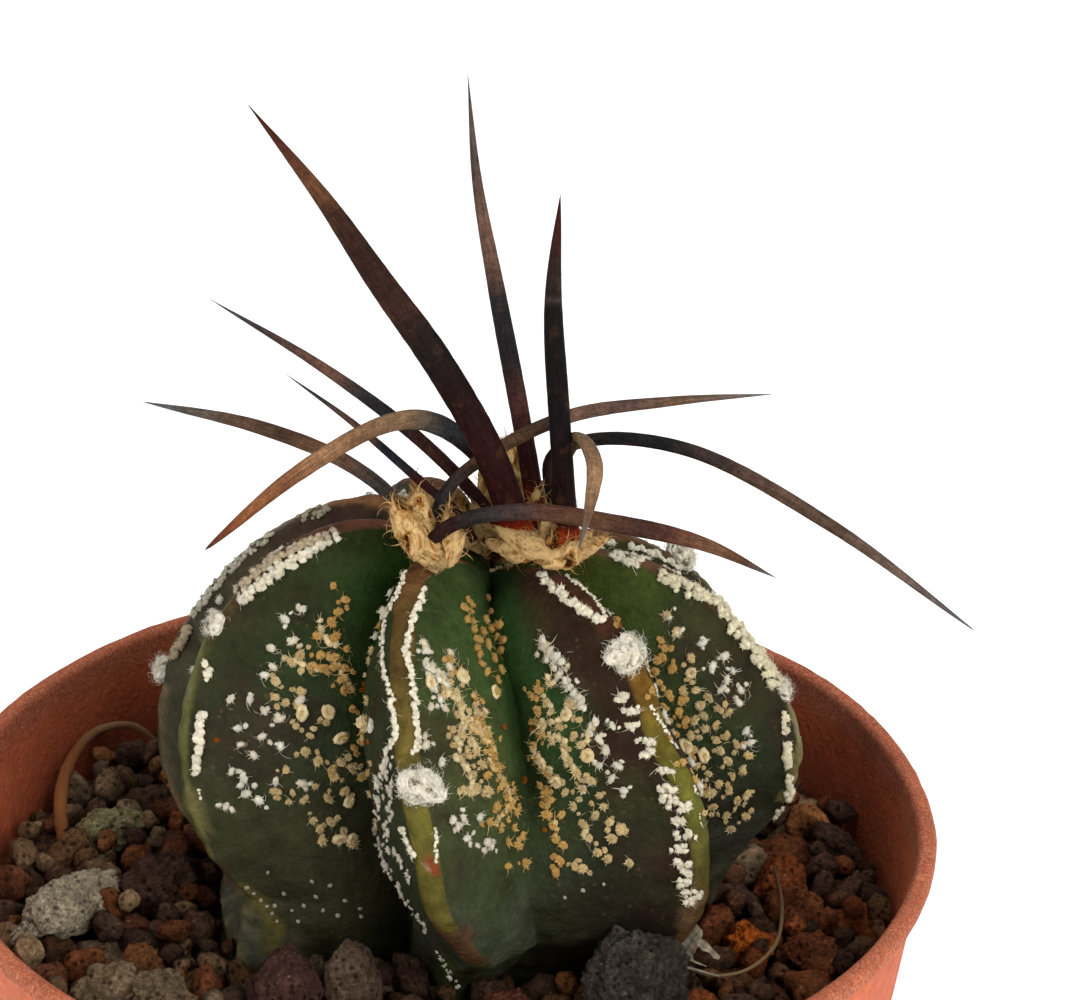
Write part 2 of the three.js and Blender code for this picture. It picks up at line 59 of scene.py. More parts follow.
# Plant body, the same values as the part's source
PLANT_X = 3.2
PLANT_Y = 1.2
HUB_Z = 62.5
HUB = np.array([PLANT_X, PLANT_Y, HUB_Z])
BODY_BOTTOM = 43.5
CREST_STEP = 15
CREST_REACH = [10.4, 13.3, 15.7, 17.4, 18.7, 20, 21.1, 21.2, 20.2]
TOP_ANGLE = 6
TURN_ANGLE = 115
CREST_HALF_WIDTH = 0.85
CREST_ROUNDING = 0.4
FACE_SWELL = 1.15
VALLEY_CROWN = 0.84
VALLEY_WAIST = 0.53
VALLEY_FOOT = 0.6
RIB_NAMES = ["front", "front_right", "right", "back_right", "back", "back_left", "left", "front_left"]
RIBS = [
    dict(azimuth=-11.4, size=0.982, shoulder=-0.055, twist=0.32, wave=-0.1, phase=25, foot=11,
         foot_azimuth=-19, tuft=75, shallow=0.27, lean=-0.13,
         bends=[(22, 17, -0.18), (97, 9, -0.035)], band=0.86),
    dict(azimuth=40.8, size=0.973, shoulder=0.01, twist=0.032, wave=-0.165, phase=34, foot=12.5,
         foot_azimuth=39, tuft=51, bends=[(69, 7, -0.045)], band=0.78),
    dict(azimuth=85, size=0.959, shoulder=0.038, twist=-0.022, wave=0.09, phase=22, foot=14.6,
         foot_azimuth=85, tuft=78, band=0.45, tuck=0.07),
    dict(azimuth=125, size=0.947, shoulder=0.09, twist=0.085, wave=0.19, phase=10, foot=13,
         foot_azimuth=130, tuft=62),
    dict(azimuth=168, size=0.98, shoulder=0.03, twist=0.08, wave=-0.3, phase=35, foot=13,
         foot_azimuth=171, tuft=70),
    dict(azimuth=209, size=1, shoulder=0.03, twist=0.12, wave=0.35, phase=15, foot=13.5,
         foot_azimuth=211, tuft=58),
    dict(azimuth=251.2, size=1.061, shoulder=0.055, twist=0.27, wave=0.05, phase=31, foot=17.6,
         foot_azimuth=252, tuft=91, corky=0.4, band=0.5),
    dict(azimuth=293.3, size=1.016, shoulder=-0.092, twist=0.222, wave=-0.3, phase=17, foot=18.3,
         foot_azimuth=298, tuft=62, band=0.55),
]
FRONT, FRONT_RIGHT, RIGHT, BACK_RIGHT, BACK, BACK_LEFT, LEFT, FRONT_LEFT = range(8)
CROWN_ROWS = 150
FOOT_ROWS = 36
CREST_STEPS = 4
FACE_STEPS = 20
FACE_CROWDING = 0.92


def linear(colour):
    """A display colour, each channel from 0 to 255, as linear light."""
    share = np.asarray(colour, float) / 255
    return np.where(share <= 0.04045, share / 12.92, ((share + 0.055) / 1.055) ** 2.4)


def soft_step(low, high, value):
    share = np.clip((value - low) / (high - low), 0, 1)
    return share * share * (3 - 2 * share)


def mix(first, second, share):
    share = np.asarray(share)[..., None]
    return first * (1 - share) + second * share


def smooth_value(values, x):
    """The value at x of a smooth line through evenly spaced values."""
    values = np.asarray(values, float)
    i = np.clip(np.floor(x).astype(int), 0, len(values) - 2)
    f = x - i
    here = values[i]
    after_here = values[i + 1]
    before = np.where(i > 0, values[np.maximum(i - 1, 0)], 2 * here - after_here)
    last = len(values) - 1
    after = np.where(i + 2 <= last, values[np.minimum(i + 2, last)], 2 * after_here - here)
    bend = 2 * before - 5 * here + 4 * after_here - after + f * (3 * (here - after_here) + after - before)
    return here + 0.5 * f * (after_here - before + f * bend)


def noise_at(points, scale, seed=0.0):
    """Smooth noise from about -1 to 1 at each point, in lumps of 1 / scale millimetres."""
    shift = Vector((seed * 17.3, seed * 9.1, -seed * 5.7))
    return np.array([noise.noise(Vector(p) * scale + shift) for p in points])


def turns_of(count):
    """The angles of a full turn in so many steps, the last one back at the first."""
    return np.linspace(0, 2 * math.pi, count + 1)


def level_ring(radius, height, turns):
    """Points round the upright axis, from the front by the right."""
    return np.stack([radius * np.sin(turns), -radius * np.cos(turns), np.full_like(turns, height)], -1)


def lengths_along(line):
    return np.concatenate([[0], np.cumsum(np.linalg.norm(np.diff(line, axis=0), axis=1))])


def drift(draw, reach=1.0):
    return Vector([draw.uniform(-reach, reach) for _ in range(3)])


def any_turn(draw):
    return draw.uniform(0, 6.28)


# Mesh tools

def deselect():
    bpy.ops.object.select_all(action="DESELECT")


def edit_all(*steps):
    """Runs each step in edit mode on the whole active mesh."""
    bpy.ops.object.mode_set(mode="EDIT")
    bpy.ops.mesh.select_all(action="SELECT")
    for step in steps:
        step()
    bpy.ops.object.mode_set(mode="OBJECT")


def corners_of(piece):
    flat = np.empty(len(piece.data.vertices) * 3)
    piece.data.vertices.foreach_get("co", flat)
    return flat.reshape(-1, 3)


def place_corners(piece, places):
    piece.data.vertices.foreach_set("co", np.asarray(places, np.float32).ravel())
    piece.data.update()


def paint(piece, colours):
    """Keeps a colour for each corner in the attribute that the materials read."""
    colours = np.asarray(colours, float).reshape(-1, 3)
    kept = piece.data.attributes.get("tint")
    if kept is None:
        kept = piece.data.attributes.new("tint", "FLOAT_COLOR", "POINT")
    full = np.ones((len(colours), 4), np.float32)
    full[:, :3] = colours
    kept.data.foreach_set("color", full.ravel())


def read_paint(piece):
    shade = np.empty(len(piece.data.vertices) * 4, np.float32)
    piece.data.attributes["tint"].data.foreach_get("color", shade)
    return shade.reshape(-1, 4)[:, :3].astype(float)


def rolled_sheet(name, places, colours, patch=None):
    """A grid rolled into a closed skin: places[row][column] in millimetres, the last column on the first."""
    rows, columns = places.shape[:2]
    deselect()
    bpy.ops.mesh.primitive_grid_add(x_subdivisions=columns - 1, y_subdivisions=rows - 1, size=1)
    piece = bpy.context.object
    piece.name = name
    piece.data.name = name
    flat = corners_of(piece)
    column = np.rint((flat[:, 0] + 0.5) * (columns - 1)).astype(int)
    row = np.rint((flat[:, 1] + 0.5) * (rows - 1)).astype(int)
    if patch is not None:
        lengthen_patch(piece, patch)
    place_corners(piece, places[row, column] * MM)
    paint(piece, colours[row, column])
    edit_all(
        lambda: bpy.ops.mesh.remove_doubles(threshold=1e-6),
        lambda: bpy.ops.mesh.normals_make_consistent(inside=False),
    )
    bpy.ops.object.shade_smooth()
    return piece


def lengthen_patch(piece, size):
    """Gives the piece's UV map its real size, so that a pattern on it isn't stretched."""
    layer = piece.data.uv_layers.active.data
    flat = np.empty(len(layer) * 2)
    layer.foreach_get("uv", flat)
    flat = flat.reshape(-1, 2) * np.array(size)
    layer.foreach_set("uv", flat.ravel())


def join(name, pieces):
    deselect()
    for piece in pieces:
        piece.select_set(True)
    bpy.context.view_layer.objects.active = pieces[0]
    bpy.ops.object.join()
    piece = bpy.context.object
    piece.name = name
    piece.data.name = name
    return piece


def new_object(name, data):
    piece = bpy.data.objects.new(name, data)
    bpy.context.scene.collection.objects.link(piece)
    return piece


def copy_of(model, matrix, colour):
    """A copy of a model with its own mesh, put in its place in the mesh itself."""
    piece = new_object(model.name + "_copy", model.data.copy())
    piece.data.transform(matrix)
    paint(piece, read_paint(piece) * colour)
    return piece


def remove(pieces):
    for piece in pieces:
        bpy.data.objects.remove(piece)


def finish(piece, slot_name, material, *nodes):
    piece.data.materials.clear()
    piece.data.materials.append(material)
    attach(piece, ROOT)
    if nodes:
        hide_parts(*nodes)
    return piece


# Materials

class Finish:
    """A material with a principled shader and helpers for the nodes that feed it."""

    def __init__(self, name, roughness, specular=0.5):
        self.material = bpy.data.materials.new(name)
        self.material.use_nodes = True
        self.nodes = self.material.node_tree.nodes
        self.links = self.material.node_tree.links
        self.shader = self.nodes["Principled BSDF"]
        self.shader.inputs["Roughness"].default_value = roughness
        self.shader.inputs["Specular IOR Level"].default_value = specular
        self.place = self.add("ShaderNodeTexCoord").outputs["Object"]

    def add(self, kind, inputs=None, **values):
        """A node with its settings, and its inputs by name or number, each a value or a socket."""
        node = self.nodes.new(kind)
        for key, value in values.items():
            setattr(node, key, value)
        for key, value in (inputs or {}).items():
            self.feed(node.inputs[key], value)
        return node

    def feed(self, socket, value):
        if isinstance(value, bpy.types.NodeSocket):
            self.links.new(value, socket)
        else:
            socket.default_value = value

    def tint(self):
        return self.add("ShaderNodeAttribute", attribute_name="tint").outputs["Color"]

    def patch(self):
        return self.add("ShaderNodeUVMap").outputs["UV"]

    def stretched(self, place, scale):
        return self.add("ShaderNodeMapping", {"Vector": place, "Scale": scale}).outputs["Vector"]

    def grain(self, scale, detail=4, roughness=0.6, place=None, distortion=0):
        """Noise in lumps of about 1 / scale metres."""
        inputs = {"Vector": place or self.place, "Scale": scale, "Detail": detail, "Roughness": roughness,
                  "Distortion": distortion}
        return self.add("ShaderNodeTexNoise", inputs).outputs["Fac"]

    def cells(self, scale):
        """Distances from the middles of cells of about 1 / scale metres."""
        return self.add("ShaderNodeTexVoronoi", {"Vector": self.place, "Scale": scale}).outputs["Distance"]

    def ranged(self, value, low, high, to_low=0.0, to_high=1.0):
        inputs = {"Value": value, "From Min": low, "From Max": high, "To Min": to_low, "To Max": to_high}
        return self.add("ShaderNodeMapRange", inputs).outputs["Result"]

    def mottled(self, scale, detail, roughness, low, high, to_low=0.0, to_high=1.0):
        """Noise whose middle range is spread over a new one."""
        return self.ranged(self.grain(scale, detail, roughness), low, high, to_low, to_high)

    def combined(self, operation, first, second):
        return self.add("ShaderNodeMath", {0: first, 1: second}, operation=operation).outputs["Value"]

    def times(self, first, second):
        return self.combined("MULTIPLY", first, second)

    def blend(self, share, first, second):
        """A mix of two colours, each from a socket or as linear light."""
        sides = [side if isinstance(side, bpy.types.NodeSocket) else (*side, 1) for side in (first, second)]
        inputs = {"Factor": share, 6: sides[0], 7: sides[1]}
        return self.add("ShaderNodeMix", inputs, data_type="RGBA").outputs[2]

    def shade(self, colour, factor):
        """The colour times a grey factor."""
        inputs = {0: colour, "Scale": factor}
        return self.add("ShaderNodeVectorMath", inputs, operation="SCALE").outputs["Vector"]

    def colour(self, value):
        self.feed(self.shader.inputs["Base Color"], value)

    def rough(self, value):
        self.feed(self.shader.inputs["Roughness"], value)

    def relief(self, heights):
        """Bumps, each a height pattern and its depth in metres."""
        normal = None
        for pattern, depth in heights:
            node = self.add("ShaderNodeBump", {"Strength": 1, "Distance": depth, "Height": pattern})
            if normal is not None:
                self.feed(node.inputs["Normal"], normal)
            normal = node.outputs["Normal"]
        self.feed(self.shader.inputs["Normal"], normal)


def skin_finish():
    look = Finish("cactus_skin", 0.5, 0.045)
    tint = look.shade(look.tint(), look.mottled(420, 5, 0.65, 0.3, 0.72, 0.66, 1.34))
    tint = look.shade(tint, look.mottled(2600, 3, 0.6, 0.35, 0.7, 0.86, 1.16))
    freckles = look.ranged(look.cells(1500), 0.1, 0.24, 1, 0)
    freckles = look.times(freckles, look.mottled(500, 2, 0.6, 0.5, 0.62))
    look.colour(look.blend(look.times(freckles, 0.3), tint, linear((104, 88, 52))))
    look.rough(look.mottled(900, 4, 0.6, 0.3, 0.7, 0.38, 0.6))
    look.relief([
        (look.grain(900, 4, 0.6), 0.00022),
        (look.cells(5200), 0.00003),
        (look.grain(6000, 3, 0.7), 0.00005),
    ])
    return look.material


def tuft_finish(name, depth=0.0001):
    """Dry hairy scales and wool: matt, with a streaky grain."""
    look = Finish(name, 0.95, 0.08)
    look.colour(look.shade(look.tint(), look.mottled(5200, 5, 0.7, 0.3, 0.7, 0.78, 1.12)))
    look.relief([(look.grain(7000, 4, 0.7, distortion=1.2), depth)])
    return look.material


def spine_finish():
    """Horn with streaks, flecks and rings that follow the spine."""
    look = Finish("spine_horn", 0.45, 0.045)
    patch = look.patch()
    streaks = look.grain(1, 5, 0.75, look.stretched(patch, (5.5, 0.7, 1)))
    flecks = look.grain(1, 4, 0.7, look.stretched(patch, (15, 5, 1)))
    bands = look.grain(1, 3, 0.6, look.stretched(patch, (0.5, 2.6, 1)))
    tint = look.shade(look.tint(), look.ranged(streaks, 0.32, 0.68, 0.5, 1.6))
    tint = look.shade(tint, look.ranged(flecks, 0.36, 0.66, 0.62, 1.45))
    tint = look.shade(tint, look.ranged(bands, 0.36, 0.66, 0.82, 1.2))
    worn = look.ranged(look.grain(1, 2, 0.5, look.stretched(patch, (1.3, 0.8, 1))), 0.56, 0.7)
    look.colour(look.blend(look.times(worn, 0.08), tint, linear((150, 100, 64))))
    look.rough(look.ranged(streaks, 0.3, 0.7, 0.4, 0.62))
    look.relief([
        (look.grain(1, 4, 0.6, look.stretched(patch, (5, 0.12, 1))), 0.00008),
        (look.grain(4200, 3, 0.6), 0.00003),
    ])
    return look.material


# The pot's wall in metres: how much it leans out with height, the radii that its inner face has at
# height 0, and the heights where the lip and the painted shade of the inner face run out
WALL_LEAN = 0.1755
INNER_FACE = (0.02162, 0.0219)
LIP_HEIGHTS = (0.0538, 0.0549)
SHADE_HEIGHTS = (0.0465, 0.0545)


def pot_finish():
    """Matt plastic: a dusty, gritty lip, and painted shade on the inner wall, deeper towards the gravel."""
    look = Finish("pot_plastic", 0.66, 0.2)
    tint = look.blend(look.mottled(160, 5, 0.6, 0.35, 0.68), linear((206, 106, 68)), linear((192, 92, 56)))
    height = look.add("ShaderNodeSeparateXYZ", {0: look.place}).outputs["Z"]
    level = look.stretched(look.place, (1, 1, 0))
    radius = look.add("ShaderNodeVectorMath", {0: level}, operation="LENGTH").outputs["Value"]
    upright = look.combined("SUBTRACT", radius, look.times(height, WALL_LEAN))
    inside = look.ranged(upright, *INNER_FACE, 1, 0)
    lip = look.ranged(height, *LIP_HEIGHTS, 0.14, 1)
    dust = look.times(look.mottled(5200, 4, 0.85, 0.46, 0.6), lip)
    tint = look.blend(look.times(dust, 0.62), tint, linear((244, 178, 142)))
    grit = look.times(look.ranged(look.grain(4100, 4, 0.85, distortion=0.4), 0.53, 0.64), lip)
    tint = look.blend(look.times(grit, 0.7), tint, linear((150, 62, 36)))
    tint = look.shade(tint, look.mottled(900, 5, 0.7, 0.3, 0.7, 0.8, 1.14))
    # The inner face is painted darker as shade, most towards the gravel
    dark = look.times(inside, look.ranged(height, *SHADE_HEIGHTS, 0.85, 0.2))
    look.colour(look.blend(dark, tint, linear((110, 48, 24))))
    look.rough(look.mottled(1500, 4, 0.6, 0.3, 0.7, 0.52, 0.78))
    look.relief([
        (look.grain(2400, 4, 0.65), 0.00018),
        (look.times(look.grain(5200, 4, 0.85), lip), 0.00022),
        (look.grain(700, 3), 0.00012),
    ])
    return look.material


def stone_finish(name="stone"):
    look = Finish(name, 0.95, 0.08)
    tint = look.shade(look.tint(), look.mottled(520, 5, 0.7, 0.32, 0.68, 0.5, 1.5))
    tint = look.shade(tint, look.mottled(3000, 5, 0.8, 0.36, 0.64, 0.45, 1.5))
    crystals = look.ranged(look.cells(2300), 0.16, 0.24, 1, 0)
    crystals = look.times(crystals, look.mottled(1300, 2, 0.6, 0.56, 0.66))
    tint = look.blend(look.times(crystals, 0.45), tint, linear((190, 160, 124)))
    pores = look.ranged(look.cells(1500), 0.12, 0.34)
    # The pores are painted darker as shade in the pits, as well as dented by the bump below
    look.colour(look.shade(tint, look.ranged(pores, 0, 1, 0.3, 1.08)))
    look.relief([
        (look.grain(1000, 6, 0.78), 0.0009),
        (pores, 0.00028),
        (look.grain(4200, 4, 0.8), 0.00022),
    ])
    return look.material


def floor_finish():
    look = Finish("pale_floor", 0.9, 0.1)
    look.shader.inputs["Base Color"].default_value = (0.94, 0.94, 0.94, 1)
    look.shader.inputs["Emission Color"].default_value = (1, 1, 1, 1)
    look.shader.inputs["Emission Strength"].default_value = 0.35
    return look.material


SKIN = skin_finish()
WHITE_TUFT = tuft_finish("white_tuft")
GOLD_TUFT = tuft_finish("gold_tuft")
WOOL_TUFT = tuft_finish("brown_wool", 0.00016)
HORN = spine_finish()
POT = pot_finish()
STONE = stone_finish()
SOIL = stone_finish("soil")
FIBRE = tuft_finish("dry_fibre")
PAPER = tuft_finish("dry_husk")


# Camera, floor and light

def make_stage():
    camera_data = bpy.data.cameras.new("camera")
    camera_data.lens = CAMERA_FOCAL_PIXELS / IMAGE_WIDTH * SENSOR_WIDTH
    camera_data.sensor_width = SENSOR_WIDTH
    camera_data.sensor_fit = "HORIZONTAL"
    camera_data.clip_start = 0.01
    camera_data.clip_end = 20
    camera = new_object("camera", camera_data)
    turn = Matrix.Rotation(math.pi / 2 - CAMERA_PITCH, 4, "X") @ Matrix.Rotation(CAMERA_ROLL, 4, "Z")
    camera.matrix_world = Matrix.Translation(CAMERA_PLACE * MM) @ turn
    bpy.context.scene.camera = camera

    deselect()
    bpy.ops.mesh.primitive_circle_add(vertices=96, radius=4, fill_type="NGON")
    floor = bpy.context.object
    floor.name = "floor"
    floor.data.materials.append(floor_finish())

    lamp("key_light", (0.7, -0.88, 0.66), 1.0, 14)
    lamp("fill_light", (-0.79, -0.75, 0.57), 1.0, 7)
    lamp("top_light", (0.05, 0.3, 1.1), 0.9, 5)
    world = bpy.data.worlds.new("studio")
    world.use_nodes = True
    world.node_tree.nodes["Background"].inputs["Color"].default_value = (1, 1, 1, 1)
    world.node_tree.nodes["Background"].inputs["Strength"].default_value = 0.2
    bpy.context.scene.world = world
    bpy.context.scene.view_settings.view_transform = "Standard"


def lamp(name, place, size, power):
    data = bpy.data.lights.new(name, "AREA")
    data.shape = "DISK"
    data.size = size
    data.energy = power
    light = new_object(name, data)
    light.location = place
    light.rotation_euler = (Vector((0, 0, 0.06)) - Vector(place)).to_track_quat("-Z", "Y").to_euler()


make_stage()


# Plant body

def polar_angle(rows):
    return TOP_ANGLE + (TURN_ANGLE - TOP_ANGLE) * np.minimum(rows, 1)


def row_at(angle):
    """The row of a polar angle, as the one row of a list."""
    return np.array([(angle - TOP_ANGLE) / (TURN_ANGLE - TOP_ANGLE)])


def crest_line(rib, rows):
    """Radius, height, azimuth and polar angle of a rib's crest at each row.

    Rows run from 0 to 1 down the crown, and on to 2 down the foot.
    """
    angle = polar_angle(rows)
    bulk = rib["size"] + rib["shoulder"] * np.sin(2 * np.radians(angle - 90))
    reach = smooth_value(CREST_REACH, angle / CREST_STEP) * bulk
    reach = reach * (1 - rib.get("tuck", 0) * soft_step(92, 115, angle))
    radius = reach * np.sin(np.radians(angle))
    height = HUB_Z + reach * np.cos(np.radians(angle))
    wave = rib["wave"] * np.sin(math.pi * (angle - rib["phase"]) / 50) * np.minimum(1, radius / 12)
    azimuth = math.radians(rib["azimuth"]) + rib["twist"] * np.radians(angle - 80)
    azimuth = azimuth + wave / np.maximum(radius, 8)
    for at, width, shift in rib.get("bends", []):
        azimuth = azimuth + shift * np.exp(-((angle - at) / width) ** 2)
    down = np.clip(rows - 1, 0, 1)
    foot_radius = rib["foot"] + (radius - rib["foot"]) * (1 - np.minimum(1, down / 0.75)) ** 2
    radius = np.where(rows > 1, foot_radius, radius)
    height = height + (BODY_BOTTOM - height) * down
    azimuth = azimuth + (math.radians(rib["foot_azimuth"]) - azimuth) * down
    return radius, height, azimuth, angle


def around_plant(radius, height, azimuth):
    return np.stack([PLANT_X + radius * np.sin(azimuth), PLANT_Y - radius * np.cos(azimuth), height], -1)


def furrow_line(rib, after, rows):
    """The furrow between a rib and the next one."""
    radius_a, height_a, azimuth_a, angle = crest_line(rib, rows)
    radius_b, height_b, azimuth_b, _ = crest_line(after, rows)
    azimuth_b = azimuth_b + np.where(azimuth_b < azimuth_a, 2 * math.pi, 0)
    fall = np.sin(0.5 * math.pi * np.minimum(rows, 1) ** 0.8)
    share = VALLEY_CROWN + (VALLEY_WAIST - VALLEY_CROWN) * fall
    down = np.clip(rows - 1, 0, 1)
    share = share + (VALLEY_FOOT - VALLEY_WAIST) * down + rib.get("corky", 0) * np.minimum(1, 2.4 * down)
    share = share + rib.get("shallow", 0) * soft_step(78, 106, angle)
    height = (height_a + height_b) / 2
    height = np.where(height > HUB_Z, HUB_Z + (height - HUB_Z) * share, height)
    middle = (azimuth_a + azimuth_b) / 2 + rib.get("lean", 0) * soft_step(66, 100, angle)
    return around_plant(share * (radius_a + radius_b) / 2, height, middle)


def crest_edges(rib, rows):
    """A crest's centre line, its outward direction, its sideways direction and how wide it is there."""
    radius, height, azimuth, _ = crest_line(rib, rows)
    centre = around_plant(radius, height, azimuth)
    outward = level_ring(1, 0, azimuth)
    away = np.stack([np.cos(azimuth), np.sin(azimuth), np.zeros_like(azimuth)], -1)
    up = centre - HUB
    up = up / np.linalg.norm(up, axis=-1, keepdims=True)
    turn = soft_step(0.95, 1.1, rows)[:, None]
    normal = up * (1 - turn) + outward * turn
    normal = normal / np.linalg.norm(normal, axis=-1, keepdims=True)
    slim = np.minimum(1, radius / 7)
    return centre, normal, away, slim, radius


def crest_points(rib, rows, turn):
    """Points on the rounded crest: turn runs from -1, its left rim, to 1, its right rim."""
    centre, normal, away, slim, _ = crest_edges(rib, rows)
    bend = turn * math.pi / 2
    side = (CREST_HALF_WIDTH * slim * math.sin(bend))[:, None]
    drop = (CREST_ROUNDING * slim * (1 - math.cos(bend)))[:, None]
    return centre + away * side - normal * drop


def face_points(index, side, rows, share):
    """Points on a rib's face. Share runs from 0, the furrow, to 1, the rim, and side is 1 on the right."""
    rib = RIBS[index]
    other = RIBS[(index + side) % len(RIBS)]
    furrow = furrow_line(rib, other, rows) if side == 1 else furrow_line(other, rib, rows)
    _, _, away, _, radius = crest_edges(rib, rows)
    rim = crest_points(rib, rows, side)
    swell = FACE_SWELL * np.minimum(1, radius / 18) * math.sin(math.pi * share)
    if (rib if side == 1 else other).get("shallow"):
        swell = swell * (1 - 0.9 * soft_step(0.6, 0.9, rows))
    return furrow + (rim - furrow) * share + away * (side * swell)[:, None]


# Colours of the skin, as seen: crest bands by polar angle, and faces from top to foot
CREST_COLOURS = {
    FRONT: {8: (112, 70, 46), 20: (144, 98, 66), 30: (138, 94, 60), 40: (110, 82, 44), 52: (98, 78, 36),
            66: (112, 96, 44), 74: (120, 106, 52), 80: (106, 98, 42), 84: (110, 102, 40), 90: (108, 98, 42),
            96: (106, 94, 44), 102: (100, 80, 42), 108: (104, 72, 46), 114: (56, 64, 34)},
    FRONT_RIGHT: {8: (96, 62, 40), 22: (104, 70, 50), 36: (92, 58, 42), 48: (70, 40, 26), 53: (100, 62, 26),
                  60: (124, 90, 34), 68: (122, 106, 38), 80: (110, 110, 42), 92: (98, 94, 42),
                  106: (104, 78, 48)},
    RIGHT: {8: (92, 70, 42), 24: (116, 84, 60), 50: (112, 76, 56), 66: (104, 84, 56), 78: (134, 122, 80),
            96: (130, 114, 70), 106: (96, 78, 48)},
    LEFT: {8: (126, 88, 56), 26: (152, 108, 70), 38: (112, 78, 58), 48: (120, 106, 90), 60: (138, 132, 114),
           72: (118, 112, 86), 95: (96, 88, 60)},
    FRONT_LEFT: {8: (108, 62, 40), 26: (124, 76, 56), 40: (104, 68, 48), 54: (98, 66, 46), 64: (92, 90, 48),
                 84: (88, 92, 50), 100: (86, 86, 48), 112: (96, 90, 62)},
}
PLAIN_CREST = {8: (104, 72, 44), 26: (116, 78, 54), 50: (100, 72, 46), 72: (98, 90, 46), 100: (86, 84, 46)}
CREST_DEPTH = 0.66

# For each face, as rib and side: colours at the FACE_STOPS, and how strong the maroon by the crest is
FACE_COLOURS = {
    (FRONT, 1): ([(60, 78, 40), (60, 82, 42), (74, 84, 48), (58, 64, 42)], 0.2),
    (FRONT, -1): ([(40, 64, 22), (42, 60, 28), (52, 60, 38), (46, 50, 34)], 0.15),
    (FRONT_RIGHT, -1): ([(48, 76, 40), (40, 70, 32), (46, 68, 36), (38, 36, 26)], 1.0),
    (FRONT_RIGHT, 1): ([(48, 56, 26), (42, 40, 24), (44, 36, 26), (42, 40, 28)], 0.95),
    (RIGHT, -1): ([(58, 64, 20), (58, 70, 26), (46, 60, 32), (34, 34, 22)], 0.8),
    (RIGHT, 1): ([(50, 72, 28), (50, 60, 30), (52, 58, 34), (56, 58, 38)], 0.5),
    (FRONT_LEFT, 1): ([(34, 66, 18), (38, 56, 24), (50, 58, 36), (62, 62, 42)], 0.3),
    (FRONT_LEFT, -1): ([(56, 34, 26), (46, 34, 26), (44, 44, 30), (60, 60, 42)], 0.85),
    (LEFT, 1): ([(52, 50, 28), (66, 50, 42), (80, 78, 58), (64, 62, 46)], 0.3),
    (LEFT, -1): ([(54, 50, 28), (64, 54, 34), (68, 62, 40), (62, 60, 42)], 0.4),
}
PLAIN_FACE = ([(48, 72, 26), (46, 60, 28), (50, 56, 34), (56, 58, 40)], 0.5)
FACE_DEPTH = 0.85
FACE_STOPS = (18, 45, 72, 100)
MAROON = linear((54, 28, 24))
BROWN = linear((48, 38, 28))
FURROW = linear((31, 53, 18))
CORK = linear((118, 110, 80))
CORK_STRENGTH = {LEFT: 0.95, FRONT_LEFT: 0.95, FRONT: 0.12, FRONT_RIGHT: 0.08}
SHADED_FEET = {(FRONT_LEFT, 1): 0.6, (FRONT, -1): 0.62, (FRONT_RIGHT, -1): 0.66, (FRONT, 1): 0.3}
RED = linear((120, 30, 20))
RED_SPOT = np.array([-1.1, -19.4, 61.3])
RED_SPOT_SHAPE = np.array([1.5, 1, 0.8])
# A pale sheen painted low on the faces, as highlight
PAINTED_SHEEN = linear((112, 118, 100))


def stops_at(stops, x):
    keys = sorted(stops)
    table = np.array([linear(stops[k]) for k in keys])
    return np.stack([np.interp(x, keys, table[:, c]) for c in range(3)], -1)


def body_columns(rows):
    """Columns of points round the body.

    A tag goes with each: its rib, its side, its share of the face and its place across the crest.
    """
    columns = []
    tags = []
    for index, rib in enumerate(RIBS):
        after = (index + 1) % len(RIBS)
        for k in range(CREST_STEPS):
            columns.append(crest_points(rib, rows, k / CREST_STEPS))
            tags.append((index, 1, 1, k / CREST_STEPS))
        for k in range(FACE_STEPS):
            share = 1 - (k / FACE_STEPS) ** FACE_CROWDING
            columns.append(face_points(index, 1, rows, share))
            tags.append((index, 1, share, 1))
        for k in range(FACE_STEPS):
            share = 1 - (1 - k / FACE_STEPS) ** FACE_CROWDING
            columns.append(face_points(after, -1, rows, share))
            tags.append((after, -1, share, 1))
        for k in range(CREST_STEPS):
            columns.append(crest_points(RIBS[after], rows, k / CREST_STEPS - 1))
            tags.append((after, -1, 1, 1 - k / CREST_STEPS))
    return np.stack(columns + columns[:1], 1), tags + tags[:1]


def face_colour(index, side, share, angle, broad, middle):
    """Green to brown down the face, maroon by the crest, and a pale sheen painted low down as highlight."""
    stops, red = FACE_COLOURS.get((index, side), PLAIN_FACE)
    jitter = angle + 9 * broad + 5 * middle
    base = stops_at(dict(zip(FACE_STOPS, stops)), jitter)
    beside, _ = FACE_COLOURS.get(((index + side) % len(RIBS), -side), PLAIN_FACE)
    meeting = 0.5 * (1 - soft_step(0, 0.6, share))
    base = mix(base, stops_at(dict(zip(FACE_STOPS, beside)), jitter), meeting)
    mottle = soft_step(0.05, 0.45, broad + 0.6 * middle)
    mottle = mottle * soft_step(40, 58, angle) * (1 - soft_step(84, 100, angle))
    brown = 0.2 if (index, side) == (FRONT_RIGHT, -1) else 0.55
    base = mix(base, BROWN, brown * mottle * soft_step(0.1, 0.35, share))
    near = soft_step(0.45, 0.9, share + 0.25 * broad + 0.12 * middle)
    span = soft_step(8, 22, angle) * (1 - soft_step(62, 96, angle))
    if (index, side) == (FRONT_RIGHT, -1):
        span = soft_step(8, 22, angle) * (1 - 0.7 * soft_step(84, 112, angle))
    if index == RIGHT:
        span = span * soft_step(46, 72, angle)
    base = mix(base, MAROON, red * near * span * 0.85)
    deep = 1 - soft_step(0, 0.35, share)
    base = mix(base, FURROW, 0.6 * deep * (1 - soft_step(60, 105, angle)))
    # Painted highlight: a pale sheen low on the faces
    sheen = soft_step(86, 106, angle) * soft_step(-0.5, 0.5, middle + broad)
    return mix(base * FACE_DEPTH, PAINTED_SHEEN, 0.12 * sheen * (index not in (FRONT_RIGHT, FRONT_LEFT)))


